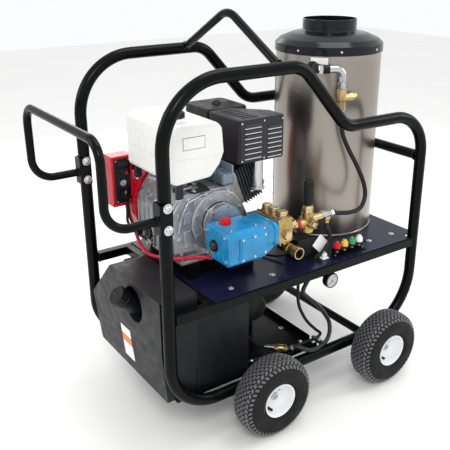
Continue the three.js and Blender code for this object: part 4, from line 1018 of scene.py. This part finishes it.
# muffler guard with louvres
mz = round_outline([(-52, 345), (118, 345), (118, 522), (40, 522), (-52, 440)], 12, 5)
b = Build("muffler_guard")
b.prism("z", mz, 826, 964, "darksteel", 5, 4)
b.box(117.2, 119, 352, 516, 831, 959, "darksteel", 1, 2)
for (y0, y1, z0, z1) in ((366, 431, 839, 951), (454, 510, 825, 938)):
    n = 7
    z0 = max(z0, 834)
    for k in range(n):
        z = z0 + (z1 - z0) * (k + 0.5) / n
        h = (z1 - z0) / n * 0.62
        # half-round scoop standing off the face; the bright zinc strip at its lower lip is a painted highlight for the
        # bright slot
        prof = []
        m = 10
        verts, faces = [], []
        for j in range(m + 1):
            t = pi * j / m
            verts += [(119 + 0.2 + 4.6 * math.sin(t) * 1.0, y0 + 4, z + h / 2 * math.cos(t) * 1.0), (119.2 + 4.6 * math.sin(t), y1 - 4, z + h / 2 * math.cos(t))]
        for j in range(m):
            faces.append((2 * j, 2 * j + 1, 2 * j + 3, 2 * j + 2))
        nb = len(verts)
        verts += [(119.2, y0, z), (119.2, y1, z)]
        for j in range(m):
            faces.append((nb, 2 * j, 2 * j + 2))
            faces.append((nb + 1, 2 * j + 3, 2 * j + 1))
        faces.append((0, nb, nb + 1, 1))
        faces.append((2 * m, 2 * m + 1, nb + 1, nb))
        b.add(verts, faces, "darksteel")
        # bright zinc strip under the scoop: a painted highlight
        b.box(118.6, 119.9, y0 + 1, y1 - 1, z - h / 2 - 3.4, z - h / 2 + 1.0, "zinc", 0.5, 1)
for (y, z) in ((356, 954), (440, 954), (512, 952), (356, 836), (440, 836)):
    b.bolt((119, y, z), "x", 3.4, 2.6, "zinc", False, False)
for k in range(6):
    x0 = -30 + k * 22
    b.box(x0, x0 + 12, 378, 432, 963.2, 966, "darksteel", 1.2, 2)
# exhaust pipe and flange
b.lathe((84, 441, 0), "z", [(724, 15), (724, 22.4), (726, 23), (731, 23), (732, 22.4), (732, 18)], "zinc", 40)
b.tube(spline([(84, 441, 732), (84, 441, 770), (84, 441, 800), (84, 441, 829)], 20), 17.6, "chrome", 40)
b.bolt((84, 462, 724), "-z", 5, 5)
b.bolt((84, 420, 724), "-z", 5, 5)
b.done(C, "muffler", slot="dark_steel")

b = Build("air_cleaner_box")
b.prism("z", round_outline([(-226, 352), (-56, 352), (-56, 512), (-226, 512)], 22, 6), 850, 912, "plastic", 5, 4)
b.prism("z", round_outline([(-224, 354), (-58, 354), (-58, 510), (-224, 510)], 24, 6), 914, 964, "plastic", 10, 5)
b.prism("z", round_outline([(-228, 350), (-54, 350), (-54, 514), (-228, 514)], 24, 6), 911, 915, "plastic_gloss", 1.6, 2)
b.lathe((-140, 432, 963), "z", [(-2, 0), (-2, 15), (5, 14), (12, 8), (14, 0)], "plastic", 32, lambda t, h, r: 1 + (0.1 * math.cos(6 * t) if r > 10 else 0))
b.lathe((-140, 420, 0), "z", [(812, 0), (812, 24), (816, 30), (846, 30), (850, 34), (853, 34), (853, 0)], "plastic", 40)
for k in range(5):
    b.box(55.5 - 112, 57.5 - 112, 372 + k * 22, 382 + k * 22, 862, 896, "plastic", 0.8, 2)
b.done(C, "air_cleaner", slot="black_plastic")

b = Build("throttle_hand_lever")
b.lathe((60, 215, 762), "z", [(0, 0), (0, 13.6), (1, 14), (4.2, 14), (5, 13.2), (5, 0)], "zinc", 40)
b.prism("z", round_outline([(53, 212), (67, 212), (64, 148), (56, 148)], 3.6, 4), 762.4, 766.6, "zinc", 0.8, 2)
b.lathe((60, 150, 762.4), "z", [(0, 0), (0, 8), (9, 8), (12, 6.8), (12.6, 0)], "plastic", 32)
b.done("throttle_lever", "throttle_lever", slot="dark_steel")
b = Build("governor_plate")
b.prism("z", round_outline([(-30, 190), (100, 190), (100, 250), (60, 262), (-30, 262)], 6, 3), 757.8, 761, "darksteel", 0.6, 2)
b.prism("z", round_outline([(-96, 168), (-36, 168), (-36, 330), (-96, 330)], 8, 3), 758, 762, "shroud", 0.8, 2)
b.box(-96, 98, 300, 344, 758.4, 800, "shroud", 12, 5)
b.box(-90, 96, 334, 340, 780, 824, "shroud", 2, 3)
for k in range(4):
    b.box(-70 + k * 38, -62 + k * 38, 299, 346, 759, 803, "shroud", 2.5, 3)
b.tube(spline([(30, 246, 764), (10, 262, 772), (-20, 280, 776), (-60, 300, 786)], 30), 1.8, "zinc", 8)
for k in range(14):
    b.ring((0 + k * 3.2, 232, 766.4), "x", 4.2, 0.8, "zinc", 20, 6)
b.bolt((20, 205, 761), "z", 4, 4)
b.bolt((86, 200, 761), "z", 4, 4)
b.bolt((-66, 186, 762), "z", 5, 4)
b.done(C)

# ---------------------------------------------------------------- gearbox and pump
b = Build("gear_reduction")
b.lathe((95.6, CY, CZ), "x", [(0, 13), (0, 61), (2, 62), (7, 62), (9, 60), (27, 60), (29, 61.8), (30.4, 61.8), (30.4, 13)], "cast", 64)
b.box(96.2, 125.8, 225, 360, 575, 660, "cast", 6, 4)
for k in range(6):
    t = 2 * pi * (k + 0.25) / 6
    b.lathe((96.4, CY + 55 * math.cos(t), CZ + 55 * math.sin(t)), "x", [(0, 0), (0, 8.4), (27, 8.4), (27, 0)], "cast", 20)
    b.bolt((123, CY + 55 * math.cos(t), CZ + 55 * math.sin(t)), "x", 4.0, 3, "zinc", False, True)
for k in range(5):
    b.box(98, 124, 236 + k * 27, 239.4 + k * 27, 571.5, 600, "cast", 1.2, 2)
b.done(C, "gearbox", slot="casting")

b = Build("pump_crankcase")
xz = [(126.4, 563), (246, 563), (256, 574), (256, 652), (242, 668), (126.4, 668)]
b.prism("y", round_outline(xz, [6, 8, 6, 8, 8, 6], 5), 213, 345, "pump", 7, 5)
b.prism("y", round_outline([(130, 598), (240, 598), (250, 608), (250, 648), (236, 662), (130, 662)], [5, 7, 5, 7, 7, 5], 4), 340, 402, "pump", 5, 4)
b.prism("y", round_outline([(128, 590), (246, 590), (254, 604), (254, 654), (240, 666), (128, 666)], 6, 4), 386, 401.8, "pump", 4, 4)
b.prism("x", round_outline([(250, 576), (350, 582), (350, 655), (250, 655)], 12, 6), 250, 261.4, "pump", 4, 4)
b.prism("x", round_outline([(257, 583), (343, 589), (343, 648), (257, 648)], 9, 6), 260.4, 263.6, "pump", 2.6, 3)
for (y, z) in ((259, 648), (302, 650), (341, 648), (341, 590), (302, 586), (259, 583)):
    b.lathe((256, y, z), "x", [(0, 0), (0, 8), (5.4, 7.6), (6, 6.6), (6, 0)], "pump", 24)
    b.bolt((261.6, y, z), "x", 4.0, 3.2, "zinc", False, True)
for k in range(4):
    b.box(150 + k * 24, 153.6 + k * 24, 210.4, 216, 575, 600, "pump", 1.4, 2)
for k in range(5):
    b.box(252, 257.4, 222 + k * 5.6, 224.8 + k * 5.6, 590, 640, "pump", 1, 2)
for (x, z) in ((142, 578), (240, 580), (142, 654), (236, 656)):
    b.lathe((x, 216, z), "-y", [(0, 0), (0, 8.4), (5, 8), (6, 7), (6, 0)], "pump", 24)
    b.bolt((x, 210.6, z), "-y", 4.2, 3.6, "zinc", False, True)
b.lathe((176, 213, 612), "-y", [(-2, 0), (-2, 19.4), (1, 19.4), (1.6, 18), (6, 17), (8.6, 15.6), (8.8, 12.6), (7.4, 12), (7.4, 0)], "plastic_gloss", 48)
b.lathe((176, 206, 612), "-y", [(0, 0), (0, 11.8), (1.0, 11.6), (1.6, 8), (1.8, 0)], "glass", 40)
b.lathe((152, 213, 578), "-y", [(-2, 0), (-2, 9), (4, 9), (4, 0)], "brass", 6)
wedge = [(340, 566), (356, 566), (398, 594), (398, 604), (340, 604)]
b.prism("x", round_outline(wedge, [3, 6, 4, 2, 2], 4), 132, 244, "pump", 4, 3)
b.prism("z", round_outline([(140, 226), (240, 226), (240, 336), (140, 336)], 12, 5), 666, 670.4, "pump", 2, 3)
for (x, y) in ((150, 238), (230, 238), (150, 326), (230, 326)):
    b.bolt((x, y, 670), "z", 3.6, 3, "zinc", False, True)
for y in (352, 392):
    b.bolt((240, y, 658), (1, 0, 0.6), 4, 3.4, "zinc", False, True)
b.done(C, "pump_body", slot="pump_blue")
b = Build("pump_crank_journal")
b.lathe((0, CY, 612), "x", [(126.6, 0), (126.6, 11.8), (127.4, 12.4), (176.8, 12.4), (177.8, 11.4), (177.8, 0)], "steel", 40)
b.done("pump_crank", "pump_shaft", slot="zinc_steel")
b = Build("pump_oil_plug")
b.lathe((170, 258, 0), "z", [(668.6, 0), (668.6, 11), (670, 16.6), (672, 17), (682, 17), (684.6, 15.8), (685.4, 12), (687, 11.6), (689.8, 10.4), (689.8, 0)], "redcap", 120, lambda t, h, r: 1 + (0.035 * math.cos(16 * t) if r > 15.5 else 0))
b.box(158, 182, 255.4, 260.6, 684, 690, "redcap", 1.6, 3)
b.done("pump_oil_cap", "pump_oil_cap", slot="red_plastic")

b = Build("pump_manifold_brass")
b.box(130, 248, 402.4, 462, 590, 672, "brass", 7, 4)
for x in (150, 189, 228):
    b.lathe((x, 432, 0), "z", [(668, 0), (668, 19), (672, 18.6), (676, 18.6), (678, 17.4)], "brass", 40)
    b.lathe((x, 432, 0), "z", [(676, 0), (676, 16.6), (690, 16.6), (693.4, 14.6), (693.6, 0)], "brass", 6)
    b.lathe((x, 455, 640), "y", [(4, 0), (4, 18.4), (12, 18), (13, 16.6)], "brass", 40)
    b.lathe((x, 455, 640), "y", [(12, 0), (12, 15.8), (23, 15.6), (25, 13.6), (25, 0)], "brass", 6)
    b.lathe((x, 432, 590), "-z", [(-2, 0), (-2, 15), (3, 14.4), (5, 12), (5, 0)], "brass", 6)
for x in (137, 170, 209, 241):
    for z in (600, 660):
        b.lathe((x, 455, z), "y", [(4, 0), (4, 7.6), (9, 7.2), (10, 6), (10, 3.4), (8.6, 3), (8.6, 0)], "darksteel", 24)
b.lathe((0, 432, 620), "x", [(240, 0), (240, 16.6), (252, 16.6), (256, 15), (262, 14), (262, 0)], "brass", 6)
b.lathe((205, 455, 620), "y", [(0, 0), (0, 15), (10, 15), (12, 12.6), (36, 12.6), (38, 15), (50, 15), (52, 12.6), (65, 12.6), (65, 0)], "brass", 32)
b.lathe((205, 488, 620), "y", [(0, 12), (0, 17), (16, 17), (16, 12)], "brass", 6)
b.box(129, 249, 408, 412, 586.6, 675, "brass", 1.2, 2)
b.done(C, "pump_manifold", slot="brass")

b = Build("unloader_valve")
b.lathe((205, 556, 0), "z", [(586, 0), (586, 17.6), (588.6, 20), (606, 20), (610, 18.4), (636, 18.4), (640, 20), (652, 20), (656, 18)], "brass", 44)
b.lathe((205, 556, 0), "z", [(655, 0), (655, 19), (670, 19), (674, 17), (678, 13), (678, 0)], "brass", 6)
b.lathe((0, 556, 620), "x", [(175, 0), (175, 12.6), (178, 15), (238, 15), (240, 13.4), (240, 0)], "brass", 36)
b.lathe((226, 556, 620), "x", [(0, 10), (0, 16.4), (14, 16.4), (14, 10)], "brass", 6)
b.lathe((205, 520.6, 620), "y", [(0, 0), (0, 14), (49, 14), (49, 0)], "brass", 36)
b.lathe((205, 524, 620), "y", [(0, 10), (0, 16.6), (15, 16.6), (15, 10)], "brass", 6)
b.lathe((205, 550, 628), "y", [(0, 0), (0, 13), (64, 13), (65, 11), (65, 0)], "brass", 36)
b.lathe((205, 612, 628), "y", [(0, 10), (0, 15.6), (14, 15.6), (16, 13.8), (36, 13.8), (38, 11), (40, 11), (40, 8)], "chrome", 6)
b.lathe((205, 509, 620), "y", [(0, 12), (0, 15.6), (1, 16.4), (6, 16.4), (7, 15.6), (7, 12)], "redcap", 44)
b.lathe((205, 640, 0), "z", [(599.6, 0), (599.6, 9.4), (612, 9.8), (614, 13), (622, 13), (622, 0)], "brass", 28)
b.done(C, "unloader", slot="brass")
b = Build("unloader_hand_knob")
b.lathe((205, 556, 0), "z", [(678.6, 0), (678.6, 13), (681, 15.4), (700, 16.4), (704, 17.6), (752, 17.6), (760, 16.8), (765, 13.6), (766.6, 8), (766.6, 0)], "plastic", 144, lambda t, h, r: 1 + (0.045 * (abs(math.cos(9 * t)) - 0.6) if r > 15 else 0))
b.done("unloader_knob", "unloader_knob", slot="black_plastic")

b = Build("inlet_elbow")
b.lathe((190, 478, 0), "z", [(545, 0), (545, 13.6), (547, 15), (588, 15), (589.4, 13.6), (589.4, 0)], "brass", 36)
b.lathe((190, 478, 0), "z", [(570, 10), (570, 18.4), (584, 18.4), (584, 10)], "brass", 6)
b.lathe((0, 478, 547), "x", [(165, 0), (165, 14), (168, 17), (186, 17), (188, 16), (204, 16), (206, 17.6), (216, 17.6), (218, 16), (238, 16), (238, 11.2)], "brass", 40)
b.lathe((0, 478, 547), "x", [(237.6, 11.2), (237.6, 20.8), (239, 21), (254, 21), (256, 19.6)], "brass", 8)
b.lathe((0, 478, 547), "x", [(255, 19.6), (262, 19.4), (262, 16.4), (256.6, 16), (256.6, 11.2), (200, 11.2)], "brass", 40)
b.lathe((0, 478, 547), "x", [(255.8, 11.2), (255.8, 15.8), (258.4, 15.8), (258.4, 11.2)], "gasket", 36)
b.done(C, "inlet_fitting", slot="brass")

b = Build("junction_box_ridged")
yz = round_outline([(530, 480.6), (622, 480.6), (622, 530), (598, 552), (530, 552)], [3, 3, 4, 4, 4], 4)
b.prism("x", yz, 128.2, 194.8, "plastic", 2.6, 3)
for k in range(9):
    b.box(131, 192, 534 + k * 7.4, 537.4 + k * 7.4, 550.6, 553.4, "plastic", 0.8, 2)
for k in range(7):
    b.box(194, 197, 540, 582, 494 + k * 7.6, 497.4 + k * 7.6, "plastic", 0.8, 2)
dm = Matrix.Translation((198.6, 622, 524)) @ Matrix.Rotation(math.radians(45), 4, "X")
b.box(-0.8, 0.6, -24, 24, -24, 24, "label", 0.4, 2, dm)
b.box(194, 198.4, 600, 626, 516, 530, "plastic", 1, 2)
b.box(128.6, 194.4, 529.4, 622.6, 522, 525, "plastic", 0.9, 2)
b.lathe((160, 530, 505), "-y", [(0, 0), (0, 11), (10, 10.6), (11, 8), (18, 8), (18, 0)], "plastic", 6)
b.tube(spline([(160, 512, 505), (156, 500, 498), (140, 486, 492), (110, 470, 488), (60, 455, 486), (20, 445, 486)], 40), 4.4, "wire", 12)
b.done(C, "switch_box", slot="black_plastic")

# ---------------------------------------------------------------- heater
b = Build("heater_jacket")
R = HEAT_R
prof = [(480.6, R - 3), (480.6, R + 1.2), (482, R + 2.4), (489, R + 2.4), (491, R), (495, R)]
for z in (560, 640, 720, 800, 880, 960, 1040):
    prof += [(z, R)]
prof += [(1092, R), (1094, R - 0.4), (1119.8, R - 0.4), (1119.8, R - 3), (1094, R - 3), (480.6, R - 3)]
b.lathe((HEAT_X, HEAT_Y, 0), "z", prof, "stainless", 144)
b.lathe((HEAT_X, HEAT_Y, 0), "z", [(481, 106), (481, R - 3.4), (484, R - 3.4), (484, 106), (481, 106)], "darksteel", 96)
b.done(C, "heater_shell", angle=24, slot="stainless")

b = Build("heater_trim")
def shell_at(x, y, off=0.0):
    v = Vector((x - HEAT_X, y - HEAT_Y, 0)).normalized()
    return v, math.atan2(v.y, v.x)
def patch(t0, t1, z0, z1, r, th, mat, n=12):
    vs, fs = [], []
    for k in range(n + 1):
        t = t0 + (t1 - t0) * k / n
        for (rr, z) in ((r, z0), (r, z1), (r + th, z1), (r + th, z0)):
            vs.append((HEAT_X + rr * math.cos(t), HEAT_Y + rr * math.sin(t), z))
    for k in range(n):
        a = 4 * k
        for j in range(4):
            fs.append((a + j, a + (j + 1) % 4, a + 4 + (j + 1) % 4, a + 4 + j))
    fs += [(0, 3, 2, 1), (4 * n, 4 * n + 1, 4 * n + 2, 4 * n + 3)]
    b.add(vs, fs, mat)
# blank white label, lap seam and a row of rivets
patch(math.atan2(689 - HEAT_Y, 39 - HEAT_X), math.atan2(725 - HEAT_Y, 84 - HEAT_X), 1093, 1116, R + 0.1, 0.5, "label")
ts = math.atan2(686 - HEAT_Y, -163 - HEAT_X)
patch(ts - 0.035, ts + 0.035, 496, 1092, R + 0.1, 1.0, "stainless", 4)
patch(ts + 0.03, ts + 0.046, 900, 1020, R + 0.1, 0.8, "ink", 3)
for k in range(9):
    z = 520 + k * 66
    v = Vector((math.cos(ts), math.sin(ts), 0))
    b.bolt(Vector((HEAT_X, HEAT_Y, z)) + v * (R + 1.1), v, 3, 2, "zinc", False, False)
b.done(C)

b = Build("heater_cap_shell")
b.lathe((HEAT_X, HEAT_Y, 0), "z", [(1121.2, 183.6), (1121.2, 187.4), (1123, 188), (1146, 187.8), (1149, 187), (1155, 180), (1162, 172.4), (1164.6, 168), (1172, 150), (1178, 136), (1181, 126), (1184.4, 103), (1187, 95.4), (1190, 93.2),
         (1222, 93.2), (1226, 92.4), (1226, 90), (1190, 90), (1184, 92), (1177, 128), (1159, 169), (1145, 183.4), (1121.2, 183.6)], "captop", 128)
for k in range(8):
    t = 2 * pi * (k + 0.35) / 8
    v = Vector((math.cos(t), math.sin(t), 0))
    b.bolt(Vector((HEAT_X, HEAT_Y, 1134)) + v * 187.6, v, 4.2, 3, "zinc", False, False)
b.done(C, "heater_cap", angle=26, slot="frame_paint")

b = Build("heater_pipe_coil")
coil = [(HEAT_X + 150 * math.cos(2 * pi * k / 40), HEAT_Y + 150 * math.sin(2 * pi * k / 40), 600 + 75.6 * k / 40) for k in range(241)]
b.tube(coil, 13, "coil", 16)
b.done(C, "heater_coil", slot="coil_pipe", weighted=False)

b = Build("heater_outlet_fittings")
b.tube(spline(route([(98.3, 672.5, 1086), (120, 710.5, 1086), (fitX, fitY, 1086, 24), (fitX, fitY, 1060), (fitX, fitY, 1018)], False, 6), 40), 12, "chrome", 32)
ed = unit(Vector((fitX - 98.3, fitY - 672.5, 0)))
b.lathe((98.3, 672.5, 1086), ed, [(-2, 0), (-2, 13), (0, 15.4), (12, 15.4), (13, 13)], "chrome", 6)
b.lathe((fitX, fitY, 0), "z", [(1030, 11), (1030, 15.6), (1044, 15.6), (1046, 12)], "chrome", 6)
b.lathe((fitX, fitY, 0), "z", [(1002, 0), (1002, 16.4), (1021, 16.4), (1023, 13)], "brass", 6)
b.lathe((fitX, fitY, 0), "z", [(960.3, 0), (960.3, 12.6), (984, 12.6), (986, 15), (1002, 15), (1003, 0)], "brass", 32)
bd = unit(Vector((4, 58, 16)))
b.lathe((fitX, fitY, 994), unit(Vector((4, 58, 0))), [(0, 0), (0, 12), (28, 12), (30, 13.6), (44, 13.6), (46, 10), (58, 10), (58, 0)], "brass", 6)
b.lathe((fitX, fitY, 0), "z", [(961, 10), (961, 14.4), (976, 14.4), (976, 10)], "brass", 6)
b.done(C, "heater_fittings", slot="brass")

b = Build("heater_outlet_boot")
b.tube(spline([(50, 700, 1082), (64, 690, 1084), (84, 682, 1086), (100, 682, 1086), (116, 704, 1086)], 30), lambda f: 16.5 - 2.6 * f, "plastic", 28)
v, _t = shell_at(44, 696)
b.lathe(Vector((HEAT_X, HEAT_Y, 1083)) + v * (R - 1), v, [(0, 0), (0, 22), (3, 21.4), (5, 17), (12, 15.4), (12, 0)], "plastic", 40)
b.done(C)

# ---------------------------------------------------------------- gauge, nozzle rack
b = Build("gauge_case")
b.lathe((0, 617, 416), "x", [(250, 0), (250, 20), (252, 25.4), (255, 27), (270, 27), (272, 26.6), (273.8, 25.4), (274, 23.6), (272.6, 23), (270.8, 22.8), (270.8, 0)], "plastic_gloss", 64)
b.lathe((0, 617, 416), "x", [(270.2, 0), (270.2, 22.7), (271, 22.7), (271.1, 0)], "dial", 56)
for k in range(31):
    t = math.radians(-135 + 270 * k / 30)
    m = Matrix.Translation((271.1, 617, 416)) @ Matrix.Rotation(-t, 4, "X")
    big = k % 5 == 0
    b.box(-0.1, 0.25, -0.55 if big else -0.28, 0.55 if big else 0.28, 15.4 if big else 17.6, 20.6, "ink", 0.0, 1, m)
b.lathe((258, 617, 0), "z", [(436, 0), (436, 9), (441, 9), (443, 6.8), (446.2, 6.8), (446.2, 0)], "brass", 6)
b.done(C, "gauge", slot="gauge_case")
for k, num in enumerate((0, 100, 200, 300)):
    t = math.radians(-135 + 90 * k)
    cu = bpy.data.curves.new(f"dial_number_{k}", "FONT")
    cu.body = str(num)
    cu.size = 0.0065
    cu.extrude = 0.00012
    cu.align_x, cu.align_y = "CENTER", "CENTER"
    cu.materials.append(M["ink"])
    ob = bpy.data.objects.new(f"dial_number_{k}", cu)
    ob.matrix_world = Matrix.Translation(P(271.2, 617 + 11.6 * math.sin(t), 416 + 11.6 * math.cos(t))) @ Matrix(((0, 0, 1), (1, 0, 0), (0, 1, 0))).to_4x4()
    bpy.context.scene.collection.objects.link(ob)
    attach(ob, C)
b = Build("gauge_pointer")
m = Matrix.Translation((272, 617, 416)) @ Matrix.Rotation(math.radians(135), 4, "X")
b.lathe((271.5, 617, 416), "x", [(0, 0), (0, 3.4), (1.2, 3.2), (1.7, 2.4), (1.7, 0)], "ink", 24)
b.prism("x", [(-1.5, -5), (1.5, -5), (0.5, 17.6), (-0.5, 17.6)], -0.3, 0.4, "redcap", 0.1, 1, m)
b.done("gauge_needle", "gauge_needle", slot="gauge_case")
b = Build("gauge_lens")
b.lathe((272.7, 617, 416), "x", [(0.6, 0), (0.6, 22.6), (0, 22.8), (1.0, 22.9), (1.1, 22), (1.2, 0)], "glass", 56)
b.done(C)
b = Build("gauge_pipework")
b.tube(spline([(250, 617, 416), (236, 617, 418), (222, 612, 428), (214, 600, 440), (211, 592, 446)], 30), 6.4, "plastic", 20)
b.lathe((248, 617, 416), "-x", [(-2, 0), (-2, 9), (12, 9), (12, 0)], "brass", 6)
b.lathe((208, 585, 0), "z", [(434.6, 6), (434.6, 12), (436, 13), (444, 13), (446, 11.6), (470, 11.6), (472, 10), (472, 6)], "plastic", 28)
b.done(C)

refine("nozzle_rack_bracket", "nozzle_rack", "frame", C, 1.0, 3)
b = Build("nozzle_rack_grommets")
for y in (664, 698, 732, 766):
    b.ring((238, y, 510.2), "z", 8.6, 2.0, "gasket", 32, 8)
for y in (657, 783):
    b.bolt((238, y, 484), "z", 3.4, 3, "zinc", False, True)
b.box(214, 236, 606, 632, 480.2, 484, "label", 1.4, 2)
b.box(218, 232, 610, 628, 483.6, 499, "label", 4, 4)
b.lathe((225, 619, 498), "z", [(0, 0), (0, 6), (5, 5.6), (6.4, 4), (6.4, 0)], "zinc", 24)
b.done(C)
for n, y, mat in (("red", 664, "redcap"), ("yellow", 698, "yellow"), ("green", 732, "green"), ("white", 766, "whiteplastic")):
    b = Build(f"nozzle_{n}_tip")
    b.lathe((238, y, 0), "z", [(494.2, 0), (494.2, 5.2), (496, 5.9), (501, 5.9), (502, 4.8), (504.6, 4.8), (505.6, 5.9), (512, 5.9)], "steel", 28)
    b.lathe((238, y, 0), "z", [(510.6, 0), (510.6, 11), (512, 12), (516, 12), (518, 11.4), (524, 11.8), (526, 10.6), (526.6, 7.4), (533, 6.8), (534, 5.4), (534, 0)], mat, 96, lambda t, h, r: 1 + (0.05 * math.cos(12 * t) if r > 10.8 else 0))
    b.lathe((238, y, 0), "z", [(533.4, 0), (533.4, 4), (535, 3.6), (535, 0)], "brass", 20)
    b.done(f"nozzle_{n}", f"nozzle_{n}", slot={"red": "red_plastic", "yellow": "yellow_plastic", "green": "green_plastic", "white": "white_plastic"}[n])

# ---------------------------------------------------------------- floor and light
floor = bpy.data.meshes.new("floor")
floor.from_pydata([(-9, -9, 0), (9, -9, 0), (9, 9, 0), (-9, 9, 0)], [], [(0, 1, 2, 3)])
floor.materials.append(M["floor"])
fo = bpy.data.objects.new("floor", floor)
bpy.context.scene.collection.objects.link(fo)
low = min(cad_box[0][2], 0.0)
fo.location.z = low - 0.0005

world = bpy.data.worlds.new("studio")
bpy.context.scene.world = world
world.use_nodes = True
world.node_tree.nodes["Background"].inputs["Color"].default_value = (0.985, 0.99, 1.0, 1)
world.node_tree.nodes["Background"].inputs["Strength"].default_value = 0.99


def area(name, loc, target, size, energy, color=(1, 1, 1)):
    d = bpy.data.lights.new(name, "AREA")
    d.shape = "RECTANGLE"
    d.size, d.size_y = size
    d.energy = energy
    d.color = color
    ob = bpy.data.objects.new(name, d)
    ob.location = loc
    ob.rotation_euler = (Vector(target) - Vector(loc)).to_track_quat("-Z", "Y").to_euler()
    bpy.context.scene.collection.objects.link(ob)


area("key", (2.3, -1.6, 2.9), (0, 0, 0.6), (0.9, 0.9), 34)
area("fill", (-1.4, -3.0, 2.4), (0, 0, 0.6), (1.0, 1.4), 20)
area("top", (0.2, 0.6, 3.4), (0, 0, 0.6), (1.4, 1.4), 24)
area("back", (1.4, 2.8, 2.2), (0, 0, 0.7), (0.8, 1.6), 24)
area("side", (-3.0, 0.6, 1.8), (0, 0, 0.7), (1.0, 1.6), 12)
try:
    bpy.context.scene.view_settings.view_transform = "Standard"
except TypeError:
    pass
